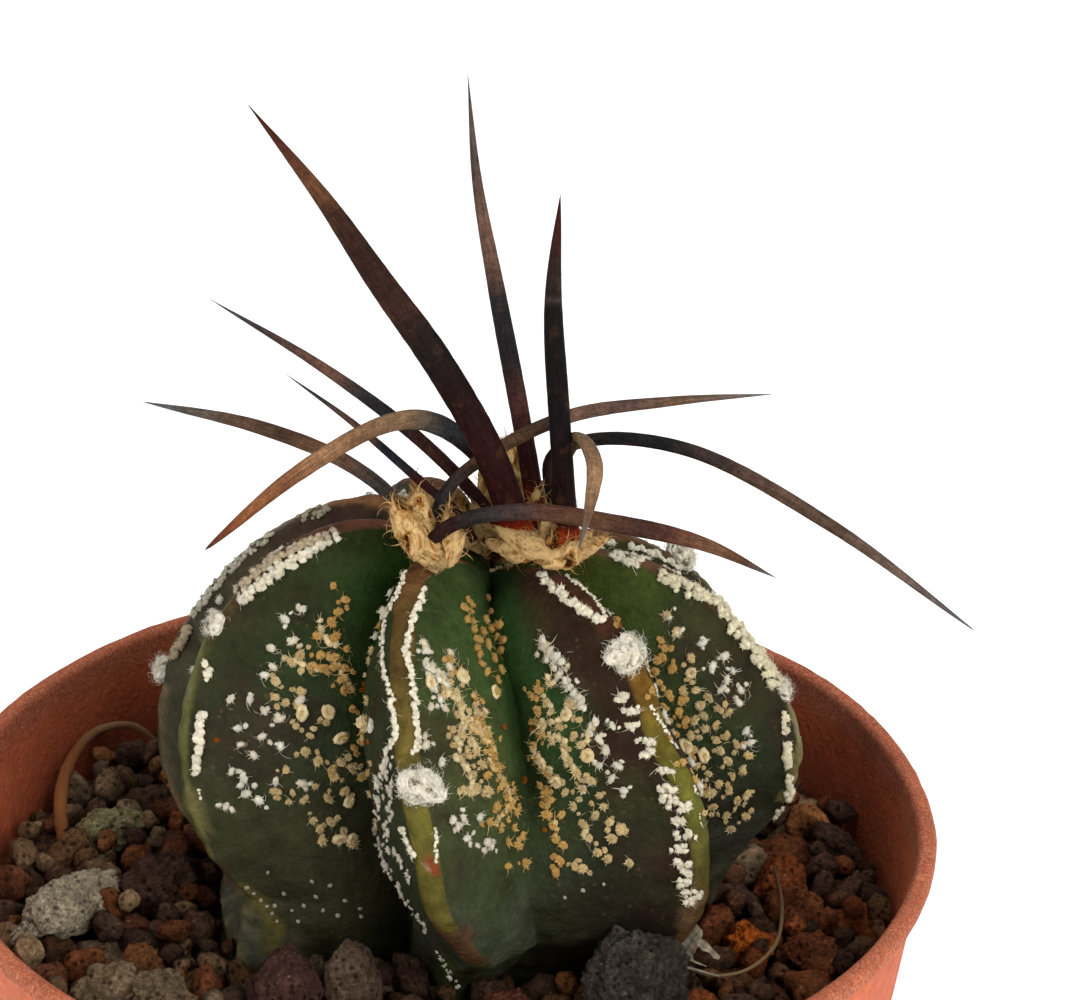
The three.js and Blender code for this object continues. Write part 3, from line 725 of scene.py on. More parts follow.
def skin_colour(index, side, share, across, angle, down, broad, middle, fine, points):
    """The colours down one column: its face or crest, the corky and shaded foot, and the red spot."""
    base = face_colour(index, side, share, angle, broad, middle)
    crest = stops_at(CREST_COLOURS.get(index, PLAIN_CREST), angle + 5 * fine)
    crest = crest * CREST_DEPTH * (1 + 0.4 * fine + 0.3 * middle)[:, None]
    band = RIBS[index].get("band", 0.7)
    soft = 0.14 if index in (FRONT, FRONT_RIGHT) else 0.25
    edge = 1 - soft_step(band - soft, band + soft, across + 0.1 * fine)
    edge = edge * (1 - 0.35 * soft_step(86, 100, angle) * soft_step(0.3, 0.8, across))
    base = mix(base, crest, edge)
    cork = soft_step(1.02, 1.5, down) * (0.45 + 0.35 * middle)
    cork = np.clip(cork + 0.3 * fine * (cork > 0), 0, 1) * CORK_STRENGTH.get(index, 0.4)
    if (index, side) == (FRONT_LEFT, 1):
        cork = cork * soft_step(0.6, 0.85, share)
    shade = SHADED_FEET.get((index, side), 0) * soft_step(0.95, 1.35, down)
    base = base * (1 - shade * (1 - soft_step(0.82, 1, share)))[:, None]
    base = mix(base, CORK * (1 + 0.5 * fine)[:, None], cork)
    spot = np.linalg.norm((points - RED_SPOT) * RED_SPOT_SHAPE, axis=1)
    return mix(base, RED, 0.85 * (1 - soft_step(0.3, 0.95, spot)))


def make_body():
    rows = np.concatenate([np.linspace(0, 1, CROWN_ROWS + 1), 1 + np.linspace(0, 1, FOOT_ROWS + 1)[1:]])
    places, tags = body_columns(rows)
    shape = places.shape
    points = places.reshape(-1, 3)
    share = np.tile([tag[2] for tag in tags], (shape[0], 1)).ravel()
    across = np.tile([tag[3] for tag in tags], (shape[0], 1)).ravel()
    angle = np.repeat(polar_angle(rows), shape[1])
    down = np.repeat(rows, shape[1])
    broad = noise_at(points, 0.16)
    middle = noise_at(points, 0.42, 3)
    fine = noise_at(points, 1.1, 7)
    out = points - HUB
    out[:, 2] *= 0.35
    out /= np.maximum(np.linalg.norm(out, axis=1, keepdims=True), 1e-6)
    waves = np.where(across < 1, 0.16 * middle + 0.16 * fine, 0.22 * middle + 0.12 * fine)
    points = points + out * (waves * soft_step(12, 30, angle))[:, None]

    places = points.reshape(shape)
    grids = [grid.reshape(shape[:2]) for grid in (share, across, angle, down, broad, middle, fine)]
    colours = np.stack([skin_colour(*tag[:2], *(grid[:, number] for grid in grids), places[:, number])
                        for number, tag in enumerate(tags)], 1)
    colours = np.clip(colours, 0.002, 1)
    places[:, -1] = places[:, 0]
    colours[:, -1] = colours[:, 0]
    top = places[0, :-1].mean(0)
    places[-1, :, 2] = BODY_BOTTOM
    places = np.concatenate([np.broadcast_to(top, (1, shape[1], 3)), places,
                             np.broadcast_to([PLANT_X, PLANT_Y, BODY_BOTTOM], (1, shape[1], 3))])
    colours = np.concatenate([colours[:1], colours, colours[-1:]])
    return finish(rolled_sheet("cactus_skin", places, colours), "cactus_skin", SKIN, "cactus_body")


body = make_body()
body_tree = BVHTree.FromPolygons([v.co.copy() for v in body.data.vertices],
                                 [tuple(p.vertices) for p in body.data.polygons])


# Rays from the camera, for what is placed by its spot in the photograph

def pixel_ray(x, y):
    across = x - IMAGE_WIDTH / 2
    up = IMAGE_HEIGHT / 2 - y
    level = across * math.cos(CAMERA_ROLL) - up * math.sin(CAMERA_ROLL)
    rise = across * math.sin(CAMERA_ROLL) + up * math.cos(CAMERA_ROLL)
    right = Vector((1, 0, 0))
    top = Vector((0, math.sin(CAMERA_PITCH), math.cos(CAMERA_PITCH)))
    ahead = Vector((0, math.cos(CAMERA_PITCH), -math.sin(CAMERA_PITCH)))
    return (right * level + top * rise + ahead * CAMERA_FOCAL_PIXELS).normalized()


def sight(x, y):
    """The place and normal where the line of sight through a pixel meets the body, or None and None."""
    return body_tree.ray_cast(CAMERA_PLACE * MM, pixel_ray(x, y))[:2]


INWARD_STEPS = 14
INWARD_SHARE = 0.008


def on_body(x, y):
    """The place and normal at a pixel, or at the next one towards the plant's middle that has them."""
    for step in range(INWARD_STEPS):
        share = step * INWARD_SHARE
        spot = sight(x + (PLANT_PIXEL[0] - x) * share, y + (PLANT_PIXEL[1] - y) * share)
        if spot[0] is not None:
            return spot
    return None


def near_body(x, y, across, down, draw):
    """A spot of the body by a pixel, moved at random by up to so many pixels."""
    return on_body(x + draw.uniform(-across, across), y + draw.uniform(-down, down))


def spread(points, step):
    """Evenly spaced spots along a line of the photograph."""
    points = np.array(points, float)
    lengths = lengths_along(points)
    at = np.linspace(0, lengths[-1], max(2, int(lengths[-1] / step) + 1))
    return np.stack([np.interp(at, lengths, points[:, c]) for c in range(2)], -1)


def spots_along(line, step, across, down, draw):
    """The spots of the body along a line of the photograph, each moved at random."""
    for x, y in spread(line, step):
        spot = near_body(x, y, across, down, draw)
        if spot is not None:
            yield spot


# Bands of colour on the skin: the line by its pixels, half its width, its colour and its strength

SKIN_BANDS = [
    ([(420, 822), (423, 842), (426, 862), (433, 892), (442, 918), (452, 940)], 0.52, (114, 106, 48), 0.7),
    ([(446, 938), (456, 944), (464, 938)], 1.0, (96, 66, 48), 0.8),
    ([(448, 962), (443, 978), (438, 992)], 0.9, (66, 84, 36), 0.7),
    ([(222, 868), (226, 882), (240, 890)], 0.45, (124, 84, 52), 0.6),
    ([(242, 888), (256, 898), (268, 912), (276, 928), (272, 948)], 0.6, (112, 104, 52), 0.8),
    ([(226, 892), (236, 912), (246, 936), (252, 956)], 0.85, (92, 92, 80), 0.7),
    ([(296, 503), (318, 498), (345, 497), (372, 500), (392, 506)], 0.5, (158, 112, 70), 0.75),
    ([(692, 896), (690, 912), (686, 926)], 0.6, (134, 104, 72), 0.6),
    ([(430, 861), (434, 867), (436, 872)], 0.36, (156, 50, 40), 0.7),
    ([(424, 864), (429, 868)], 0.2, (196, 150, 130), 0.5),
    ([(796, 714), (799, 740), (799, 770), (797, 800)], 0.36, (156, 144, 90), 0.65),
    ([(184, 772), (188, 790), (194, 810), (201, 832), (210, 854)], 0.4, (132, 126, 74), 0.7),
    ([(204, 640), (196, 665), (190, 690), (186, 715), (184, 742), (184, 772)], 0.4, (124, 120, 68), 0.65),
    ([(162, 690), (163, 718), (165, 748), (171, 778), (178, 804), (187, 824)], 0.5, (142, 126, 90), 0.75),
]


def paint_bands():
    corners = corners_of(body) / MM
    shade = read_paint(body)
    ragged = 1 + 0.25 * noise_at(corners, 1.4, 12)
    for line, half, colour, strength in SKIN_BANDS:
        gap = np.full(len(corners), np.inf)
        for spot in (on_body(x, y) for x, y in spread(line, 4)):
            if spot is not None:
                gap = np.minimum(gap, np.linalg.norm(corners - np.array(spot[0]) / MM, axis=1))
        share = strength * (1 - soft_step(0.5 * half, 1.15 * half, gap * ragged))
        shade = mix(shade, linear(colour) * CREST_DEPTH * ragged[:, None] ** 1.5, share)
    paint(body, shade)


paint_bands()


# Horn-like spines: the same paths as the part's source, root to tip, and colours along each

SPINES = {
    "spine_tall_left": dict(
        path=[(5.2, -2.8, 76.8), (3.15, -2, 82.9), (-0.3, -0.9, 88.9), (-4, 0.2, 93.9), (-7.5, 1.7, 98.6),
              (-12.3, 3.8, 104)],
        breadth=1.95, thickness=1.1, belly=0.4, taper=1.75, root=1.3,
        colours={0: (150, 40, 4), 0.042: (196, 62, 6), 0.056: (100, 24, 8), 0.085: (46, 16, 12),
                 0.2: (44, 16, 14), 0.34: (34, 18, 16), 0.43: (30, 24, 22), 0.54: (58, 36, 28),
                 0.63: (54, 34, 26), 0.74: (66, 42, 30), 0.81: (116, 76, 50), 0.88: (92, 52, 38),
                 1: (72, 26, 20)}),
    "spine_upright": dict(
        path=[(8.1, -4, 77.2), (7.25, -1.8, 86.2), (6.75, -0.2, 93), (7.05, 1.4, 99.5)],
        breadth=1.36, thickness=0.95, belly=0.42, taper=2.3, root=1.2,
        colours={0: (150, 44, 4), 0.06: (176, 52, 6), 0.085: (62, 20, 10), 0.16: (34, 16, 14),
                 0.4: (22, 16, 16), 0.7: (26, 22, 20), 0.716: (66, 56, 50), 0.73: (38, 30, 26),
                 0.8: (50, 36, 30), 0.9: (66, 30, 26), 1: (84, 30, 26)}),
    "spine_tall_back": dict(
        path=[(6.2, -0.2, 77), (4.9, 3.3, 83), (3.15, 8, 89.9), (1.75, 11.6, 95.9), (1, 15, 101.9)],
        breadth=1.22, thickness=0.95, belly=0.35, taper=1.7, root=1.1,
        colours={0: (130, 40, 8), 0.08: (96, 28, 8), 0.11: (46, 16, 12), 0.2: (54, 24, 26),
                 0.27: (88, 52, 46), 0.36: (48, 40, 42), 0.5: (44, 42, 44), 0.54: (92, 70, 58),
                 0.66: (124, 92, 78), 0.8: (88, 72, 66), 0.93: (104, 88, 80), 1: (92, 96, 100)}),
    "spine_back_left": dict(
        path=[(3.9, -0.7, 77.2), (1.5, 0.8, 79.6), (-2.1, 3.2, 82.05), (-8, 6.6, 84.95), (-15.4, 9.8, 88.1)],
        breadth=0.86, thickness=0.7, belly=0.4, taper=1.7, root=0.95,
        colours={0: (92, 30, 12), 0.1: (46, 24, 24), 0.3: (60, 34, 28), 0.42: (44, 40, 42),
                 0.52: (58, 54, 56), 0.62: (124, 88, 72), 0.72: (96, 72, 62), 0.84: (78, 62, 60),
                 1: (86, 92, 102)}),
    "spine_thin_left": dict(
        path=[(2.1, -1.1, 76.6), (1, 0, 78), (-1.1, 1.4, 79.2), (-5.8, 4.6, 81.9), (-10.4, 7.3, 84.1)],
        breadth=0.58, thickness=0.5, belly=0.4, taper=1.6, root=0.95,
        colours={0: (62, 30, 22), 0.2: (46, 34, 34), 0.3: (74, 28, 28), 0.4: (38, 40, 46),
                 0.52: (34, 40, 46), 0.6: (116, 78, 60), 0.72: (98, 74, 64), 0.82: (72, 68, 74),
                 1: (66, 60, 68)}),
    "spine_low_left": dict(
        path=[(-1.7, -4.1, 77.6), (-2.8, -2.9, 80.1), (-5.8, -0.75, 81.65), (-11.8, 3, 82.3),
              (-19.4, 5.9, 82.5)],
        breadth=0.98, thickness=0.72, belly=0.45, taper=2.3, root=0.8,
        colours={0: (60, 50, 42), 0.18: (58, 54, 52), 0.3: (86, 66, 54), 0.42: (116, 84, 62),
                 0.55: (84, 62, 48), 0.7: (104, 80, 66), 0.85: (98, 90, 82), 1: (108, 116, 118)}),
    "spine_arched": dict(
        path=[(4.1, 2.1, 76.6), (2.5, 2.1, 80.7), (-0.6, 0, 84.3), (-3.5, -2.8, 85.5), (-8.8, -6.8, 83.9),
              (-14.2, -10.4, 80.4)],
        breadth=1.7, thickness=0.8, belly=0.66, taper=1.9, root=0.5,
        colours={0: (42, 20, 12), 0.2: (46, 26, 22), 0.3: (72, 76, 80), 0.37: (98, 88, 78),
                 0.44: (146, 116, 88), 0.58: (142, 106, 78), 0.68: (168, 124, 90), 0.78: (140, 92, 64),
                 0.86: (160, 102, 64), 0.93: (134, 78, 48), 1: (84, 40, 32)}),
    "spine_upper_right": dict(
        path=[(-0.7, -3.3, 77.8), (0.4, -1.2, 80.3), (3.3, 0.3, 82.3), (8, 1.2, 84.4), (14.4, 2.7, 84.85),
              (21, 4.2, 84.8)],
        breadth=0.88, thickness=0.7, belly=0.5, taper=1.7, root=0.85,
        colours={0: (44, 38, 38), 0.14: (52, 46, 46), 0.22: (88, 64, 48), 0.34: (110, 82, 60),
                 0.44: (64, 48, 42), 0.5: (122, 92, 74), 0.62: (98, 76, 70), 0.76: (116, 88, 66),
                 0.9: (120, 104, 96), 1: (120, 122, 126)}),
    "spine_long_right": dict(
        path=[(7.3, 1.9, 76.8), (6.8, 3.8, 80), (9.3, 3.2, 81.75), (15.6, 1.2, 82.15), (24.6, -2.2, 78.7),
              (33.6, -6, 73.5)],
        breadth=0.92, thickness=0.75, belly=0.55, taper=1.9, root=0.85,
        colours={0: (40, 20, 16), 0.18: (50, 38, 32), 0.27: (36, 38, 40), 0.36: (42, 40, 40),
                 0.46: (74, 58, 52), 0.58: (104, 80, 66), 0.7: (92, 72, 60), 0.82: (122, 100, 86),
                 0.93: (104, 94, 96), 1: (104, 112, 120)}),
    "spine_claw": dict(
        path=[(7.5, -2.3, 77.3), (7.5, 0.6, 81.3), (8.5, -1.5, 84.2), (9.5, -6.2, 84.6), (9.2, -9, 83.1),
              (8.6, -10.4, 81)],
        breadth=1.25, thickness=0.7, belly=0.62, taper=1.8, root=0.6,
        colours={0: (40, 22, 18), 0.32: (46, 32, 26), 0.42: (100, 72, 50), 0.52: (136, 112, 86),
                 0.64: (146, 112, 84), 0.76: (166, 128, 94), 0.9: (120, 90, 70), 0.95: (110, 98, 92),
                 1: (118, 114, 112)}),
    "spine_front_right": dict(
        path=[(-1.5, -5.3, 77.7), (0.9, -5, 79.8), (5, -5.5, 81), (11, -6.7, 80.9), (16.3, -7.2, 79.9),
              (21, -6.8, 77.4)],
        breadth=1.16, thickness=0.75, belly=0.62, taper=1.7, root=0.7,
        colours={0: (50, 26, 18), 0.12: (44, 24, 22), 0.2: (48, 44, 44), 0.3: (66, 54, 52),
                 0.36: (92, 62, 50), 0.5: (106, 72, 52), 0.6: (72, 48, 40), 0.7: (88, 54, 44),
                 0.8: (124, 88, 62), 0.9: (98, 66, 52), 1: (112, 116, 116)}),
}
SPINE_DEPTH = 0.62
ROOT_FLARE = 0.045
PATH_STEPS = 400
SPINE_SIDES = 20
SPINE_STATIONS = 90
SPINE_FACES = np.array([0, -0.89, 0.45])


def smooth_path(points):
    """A smooth line through the points, as evenly spaced places along its length."""
    points = [np.array(p, float) for p in points]
    line = []
    for i in range(len(points) - 1):
        here = points[i]
        after = points[i + 1]
        before = points[i - 1] if i > 0 else 2 * here - after
        beyond = points[i + 2] if i + 2 < len(points) else 2 * after - here
        gap_a = max(np.linalg.norm(here - before) ** 0.5, 1e-4)
        gap_b = max(np.linalg.norm(after - here) ** 0.5, 1e-4)
        gap_c = max(np.linalg.norm(beyond - after) ** 0.5, 1e-4)
        leave = (here - before) / gap_a - (after - before) / (gap_a + gap_b) + (after - here) / gap_b
        arrive = (after - here) / gap_b - (beyond - here) / (gap_b + gap_c) + (beyond - after) / gap_c
        leave = leave * gap_b
        arrive = arrive * gap_b
        for t in np.linspace(0, 1, PATH_STEPS, endpoint=i + 2 == len(points)):
            line.append((2 * t**3 - 3 * t**2 + 1) * here + (t**3 - 2 * t**2 + t) * leave
                        + (3 * t**2 - 2 * t**3) * after + (t**3 - t**2) * arrive)
    return np.array(line), lengths_along(line)


def along(line, lengths, share):
    return np.stack([np.interp(share * lengths[-1], lengths, line[:, c]) for c in range(3)], -1)


def heading(line, lengths, share, step):
    """The direction of a line at a share of its length, from its places a step before and after."""
    ahead = along(line, lengths, min(share + step, 1)) - along(line, lengths, max(share - step, 0))
    return ahead / np.linalg.norm(ahead)


def horn_width(share, belly, taper, root):
    """How wide a horn is: its root, which flares or narrows, then an even belly and a taper to the tip."""
    if root > 1:
        fade = math.exp(-share / ROOT_FLARE)
    else:
        fade = 1 - math.sin(0.5 * math.pi * min(1, share / belly))
    flare = (root - 1) * fade
    point = 1 if share < belly else 1 - ((share - belly) / (1 - belly)) ** taper
    return max(0.04, point + flare)


def horn(name, path, breadth, thickness, belly, taper, root, colours, depth=SPINE_DEPTH, sides=SPINE_SIDES,
         stations=SPINE_STATIONS, rough=0.03, seed=0):
    """An oval section carried along a smooth path, with shallow growth rings and a sharp tip."""
    line, lengths = smooth_path(path)
    face = SPINE_FACES.copy()
    rings = []
    shades = []
    turns = turns_of(sides)
    for share in np.linspace(0, 1, stations + 1):
        centre = along(line, lengths, share)
        ahead = heading(line, lengths, share, 0.004)
        face = face - ahead * face.dot(ahead)
        face /= np.linalg.norm(face)
        across = np.cross(ahead, face)
        width = horn_width(share, belly, taper, root) if share < 1 else 0
        grain = 1 + rough * noise.noise(Vector((seed * 3.1, 0, share * lengths[-1] * 1.4)))
        ring = (centre + across * (np.cos(turns) * breadth * width * grain / 2)[:, None]
                + face * (np.sin(turns) * thickness * math.sqrt(width) * grain / 2)[:, None])
        if share == 1:
            ring = np.broadcast_to(centre, ring.shape)
        rings.append(ring)
        wander = 0.012 * noise_at(ring[:-1] if share < 1 else ring[:1].repeat(sides, 0), 0.9, seed)
        shade = stops_at(colours, np.clip(share + wander, 0, 1)) * depth
        shades.append(np.concatenate([shade, shade[:1]]))
    rings.insert(0, np.broadcast_to(rings[0].mean(0), rings[0].shape))
    shades.insert(0, shades[0])
    return rolled_sheet(name, np.array(rings), np.array(shades), (breadth * 2.4, lengths[-1]))


def make_spines():
    for number, (name, values) in enumerate(SPINES.items()):
        finish(horn(name + "_horn", **values, seed=number), "spine", HORN, name)


make_spines()


# Pot: one turned wall with a grainy lip, and drain holes cut through its floor

POT_SIDES = 240
POT_PROFILE = [(0, 0), (8, 0), (14, 0), (19, 0), (21.6, 0), (22.15, 0.04), (22.42, 0.2), (22.5, 0.45),
               (23.8, 8), (25.2, 16), (26.6, 24), (28, 32), (29.4, 40), (30.5, 47), (31.2, 51.5),
               (31.55, 54.1), (31.66, 54.62), (31.9, 54.86), (32.25, 54.92), (32.44, 55.02), (32.5, 55.22),
               (32.49, 55.55), (32.4, 55.82), (32.2, 55.97), (31.9, 56), (31.6, 55.99), (31.4, 55.9),
               (31.28, 55.72), (31.22, 55.4), (31.1, 54.8), (30.8, 53.6), (30.3, 50.5), (29.6, 46.4),
               (28, 37.2), (26.4, 28), (24.8, 19), (23.2, 10), (22, 3.2), (21.75, 1.9), (21.5, 1.5),
               (21, 1.4), (15, 1.4), (8, 1.4), (0, 1.4)]
# Where the pot's grain begins, where the lip begins, and where its grain lifts it as well
GRAINY_RADIUS = 24
LIP_FOOT = 54
LIP_SKIRT = 54.7
DRAIN_HOLES = 5
DRAIN_RADIUS = 2.5
DRAIN_CIRCLE = 13


def make_pot():
    turns = turns_of(POT_SIDES)
    places = []
    for radius, height in POT_PROFILE:
        ring = level_ring(radius, height, turns)
        if radius > GRAINY_RADIUS:
            spots = ring[:-1]
            rise = 0.05 if height > LIP_FOOT else 0.02
            wander = noise_at(spots, 0.8, 2) * rise + noise_at(spots, 0.12, 5) * 0.1
            wander = np.append(wander, wander[0])
            ring = ring + level_ring(1, 0, turns) * wander[:, None]
            if height > LIP_SKIRT:
                ring[:, 2] += wander * 0.8
        places.append(ring)
    places = np.array(places)
    pot = rolled_sheet("round_pot", places, np.ones_like(places))
    holes = []
    for i in range(DRAIN_HOLES):
        turn = 2 * math.pi * (i + 0.5) / DRAIN_HOLES
        deselect()
        bpy.ops.mesh.primitive_cylinder_add(
            vertices=32, radius=DRAIN_RADIUS * MM, depth=6 * MM,
            location=(DRAIN_CIRCLE * MM * math.cos(turn), DRAIN_CIRCLE * MM * math.sin(turn), 0.7 * MM))
        holes.append(bpy.context.object)
    cutter = join("drain_cutter", holes)
    deselect()
    pot.select_set(True)
    bpy.context.view_layer.objects.active = pot
    cut = pot.modifiers.new("drain", "BOOLEAN")
    cut.operation = "DIFFERENCE"
    cut.object = cutter
    bpy.ops.object.modifier_apply(modifier=cut.name)
    remove([cutter])
    bpy.ops.object.shade_smooth_by_angle(angle=math.radians(50))
    finish(pot, "pot", POT, "pot")


make_pot()


# Models that are copied: stones, scales and hair

# Dents of a lump: the detail that its mesh has to be above, their scale, seed shift and share
DENTS = [(0, 1.3, 0, 1), (0, 3.2, 3, 0.6), (3, 6.5, 5, 0.45), (4, 13, 7, 0.3)]


def lump(name, detail, size, jitter, seed, angular=0.0, colour=(1, 1, 1)):
    """A ball pressed and dented into a stone or a scale."""
    deselect()
    bpy.ops.mesh.primitive_ico_sphere_add(subdivisions=detail, radius=1)
    piece = bpy.context.object
    piece.name = name
    draw = random.Random(seed)
    points = corners_of(piece)
    if angular:
        for _ in range(9):
            side = np.array(Vector([draw.gauss(0, 1) for _ in range(3)]).normalized())
            over = np.maximum(points @ side - draw.uniform(0.62, 0.95), 0) * angular
            points = points - np.outer(over, side)
    dents = 0
    for finest, scale, shift, share in DENTS:
        if detail > finest:
            dents = dents + noise_at(points, scale, seed + shift) * jitter * share
    points = points * (1 + dents)[:, None] * np.array(size)
    place_corners(piece, points * MM)
    paint(piece, np.ones((len(points), 3)) * np.array(colour))
    bpy.ops.object.shade_smooth()
    return piece


def turned(place, size=1.0, turn=None, normal=None, spin=0.0, stretch=None):
    """A matrix that puts a model at a place in metres, standing on a normal and spun about it."""
    matrix = Matrix.Translation(place)
    if normal is not None:
        matrix = matrix @ Vector(normal).to_track_quat("Z", "Y").to_matrix().to_4x4()
    matrix = matrix @ Matrix.Rotation(spin, 4, "Z")
    if turn is not None:
        matrix = matrix @ turn
    scale = (size, size, size) if stretch is None else [size * each for each in stretch]
    return matrix @ Matrix.Diagonal((*scale, 1))


# Stones: centre, half sizes and turn as in the part's source, and colour as seen

NAMED_STONES = {
    "stone_dark_grey": ((13.1, -14.4, 52.3), (3.3, 3, 4.2), 20, (70, 64, 57)),
    "stone_red_brown": ((4.7, -13.7, 49.1), (2.1, 1.9, 1.9), 0, (96, 56, 40)),
    "stone_taupe": ((-5, -12.9, 50.5), (1.9, 2, 3.4), 10, (96, 78, 62)),
    "stone_purple": ((-9.4, -13.6, 50.5), (2.5, 2.2, 3.5), 15, (80, 54, 48)),
    "stone_tan_rough": ((-17.1, -12.5, 49.4), (2.6, 1.9, 1.8), -15, (124, 104, 80)),
    "stone_grey_long": ((-24.7, -3.3, 49.7), (4.7, 1.7, 1.9), 50, (160, 146, 122)),
    "stone_violet": ((-18.3, 0.6, 49.4), (2.4, 2.6, 2.2), 0, (76, 54, 44)),
    "stone_green_grey": ((-22.4, 7.6, 49.3), (2.6, 1.6, 1.7), 25, (134, 124, 88)),
    "stone_orange": ((20.3, -5, 49.2), (1.5, 1.4, 1.8), 0, (184, 96, 34)),
    "stone_orange_brown": ((22.7, 2.8, 49.3), (1.9, 1.9, 2), 30, (130, 70, 36)),
    "stone_rust": ((24.8, -5.6, 48.9), (2.2, 1.8, 1.5), -50, (112, 64, 40)),
    "stone_back_grey": ((9, 23, 49), (2.7, 2, 1.8), -20, (112, 100, 82)),
    "stone_back_rust": ((-9.5, 23.2, 49), (2.3, 2.1, 1.7), 20, (118, 70, 44)),
    "stone_back_tan": ((20.5, 15.3, 49), (2.5, 1.8, 1.7), -40, (128, 102, 74)),
}
GRAVEL_COLOURS = [(108, 76, 50), (122, 94, 68), (72, 52, 40), (120, 70, 42), (148, 120, 88), (92, 66, 50),
                  (130, 108, 82), (104, 62, 42), (98, 74, 50), (86, 58, 38), (144, 92, 54), (80, 60, 46)]
RUSTY_COLOURS = [(126, 72, 44), (102, 62, 42), (140, 76, 42), (88, 62, 46), (114, 76, 52), (78, 54, 44)]
TALL_STONES = ("stone_purple", "stone_taupe")
FINE_STONES = TALL_STONES + ("stone_dark_grey", "stone_grey_long")

# Loose gravel: how many stones a layer has, their radii and the spots that each of them tries, then how
# many models it has, their mesh detail, half sizes, dents and first seed
GRAVEL_LAYERS = {
    "gravel_large": (150, (1.7, 2.7), 26, 9, 4, (1.14, 0.94, 0.8), 0.26, 200),
    "gravel_small": (230, (1.1, 1.7), 22, 9, 3, (1.18, 0.92, 0.78), 0.28, 300),
    "gravel_chips": (420, (0.5, 1.0), 12, 6, 2, (1.2, 0.9, 0.76), 0.3, 400),
}
# The pot's inner face: its radius and height at the floor, how much it widens and over what height
FLOOR_RADIUS = 21.7
FLOOR_HEIGHT = 1.75
WIDENING = 9.1
FACE_HEIGHT = 51.85
GRAVEL_FLOOR = 45.2
GRAVEL_TOP = 51.2
GRAVEL_REACH = 30.4
RUSTY_FROM_X = 9
SOIL_SIDES = 240
SOIL_RINGS = 60
SOIL_TOP = 47.0
SOIL_EDGE = 46.5
SOIL_BASE = 44.2
SOIL_COLOUR = linear((46, 31, 22))

# How close stones lie to each other or the wall, and to the body, as shares of their radii, and the
# radius of a stone's model
STONE_FIT = 0.86
BODY_FIT = 0.72
MODEL_RADIUS = 0.97

# How sharply a stone's flat sides are cut
SHARP = 0.95


def inside_radius(height):
    """The radius of the pot's inner face."""
    return FLOOR_RADIUS + WIDENING * (height - FLOOR_HEIGHT) / FACE_HEIGHT


def has_room(place, radius):
    """Whether a stone's centre is outside the body and far enough from it."""
    near, normal, _, distance = body_tree.find_nearest(place * MM)
    return (place * MM - near).dot(normal) >= 0 and distance / MM >= radius * BODY_FIT


def make_named_stones():
    for number, (name, (at, size, turn, colour)) in enumerate(NAMED_STONES.items()):
        tall = name in TALL_STONES
        detail = 6 if name in FINE_STONES else 5
        dents = 0.1 if tall else 0.24
        model = lump(name + "_stone", detail, size, dents, 60 + number,
                     angular=0.5 if tall else SHARP, colour=linear(colour) * 1.15)
        model.data.transform(turned(Vector(at) * MM, turn=Matrix.Rotation(math.radians(turn), 4, "Z")))
        finish(model, name, STONE, name)


def rest_height(x, y, radius, heaped):
    """How high a stone's centre lies on the floor and the stones heaped so far."""
    height = GRAVEL_FLOOR + radius
    for centre, other in heaped:
        gap = (centre.x - x) ** 2 + (centre.y - y) ** 2
        room = (STONE_FIT * (other + radius)) ** 2
        if gap < room:
            height = max(height, centre.z + math.sqrt(room - gap))
    return height


def lowest_spot(draw, radius, tries, heaped):
    """The lowest of some random spots that have room for a stone, or None."""
    best = None
    for _ in range(tries):
        turn = draw.uniform(0, 2 * math.pi)
        reach = GRAVEL_REACH * math.sqrt(draw.uniform(0.1, 1))
        x = reach * math.cos(turn)
        y = reach * math.sin(turn)
        z = rest_height(x, y, radius, heaped)
        if z + radius > GRAVEL_TOP or reach + radius * STONE_FIT > inside_radius(z):
            continue
        spot = Vector((x, y, z))
        if has_room(spot, radius) and (best is None or z < best.z):
            best = spot
    return best


def make_gravel():
    draw = random.Random(41)
    heaped = [(Vector(at), sum(size) / 3.1) for at, size, _, _ in NAMED_STONES.values()]
    for name, (count, radii, tries, kinds, *shape, dents, seed) in GRAVEL_LAYERS.items():
        models = [lump(f"{name}_model_{i}", *shape, dents, seed + i, SHARP) for i in range(kinds)]
        copies = []
        for _ in range(count):
            radius = draw.uniform(*radii)
            spot = lowest_spot(draw, radius, tries, heaped)
            if spot is None:
                continue
            heaped.append((spot, radius))
            model = models[draw.randrange(len(models))]
            palette = RUSTY_COLOURS if spot.x > RUSTY_FROM_X and draw.random() < 0.75 else GRAVEL_COLOURS
            colour = linear(palette[draw.randrange(len(palette))]) * draw.uniform(0.7, 1.3)
            tumble = Matrix.Rotation(any_turn(draw), 4, "X") @ Matrix.Rotation(any_turn(draw), 4, "Y")
            matrix = turned(spot * MM, radius / MODEL_RADIUS, turn=tumble, spin=any_turn(draw))
            copies.append(copy_of(model, matrix, colour))
        remove(models)
        finish(join(name, copies), "gravel", STONE, "gravel_bed")


def make_soil():
    """The dark bed under the stones: a rough top and a flat base."""
    turns = turns_of(SOIL_SIDES)
    places = []
    for share in np.linspace(0, 1, SOIL_RINGS):
        ring = level_ring(inside_radius(SOIL_EDGE) * share, SOIL_TOP, turns)
        rise = noise_at(ring[:-1], 0.5, 3) * 0.5 + noise_at(ring[:-1], 1.7, 8) * 0.3
        ring[:, 2] += np.append(rise, rise[0]) * (share > 0)
        places.append(ring)
    for share in np.linspace(1, 0, 4):
        places.append(level_ring(inside_radius(SOIL_BASE) * share, SOIL_BASE, turns))
    places = np.array(places)
    shades = np.broadcast_to(SOIL_COLOUR, places.shape)
    finish(rolled_sheet("soil", places, shades), "gravel", SOIL, "gravel_bed")


make_named_stones()
make_gravel()
make_soil()


# Scales on the faces, by their spot in the photograph

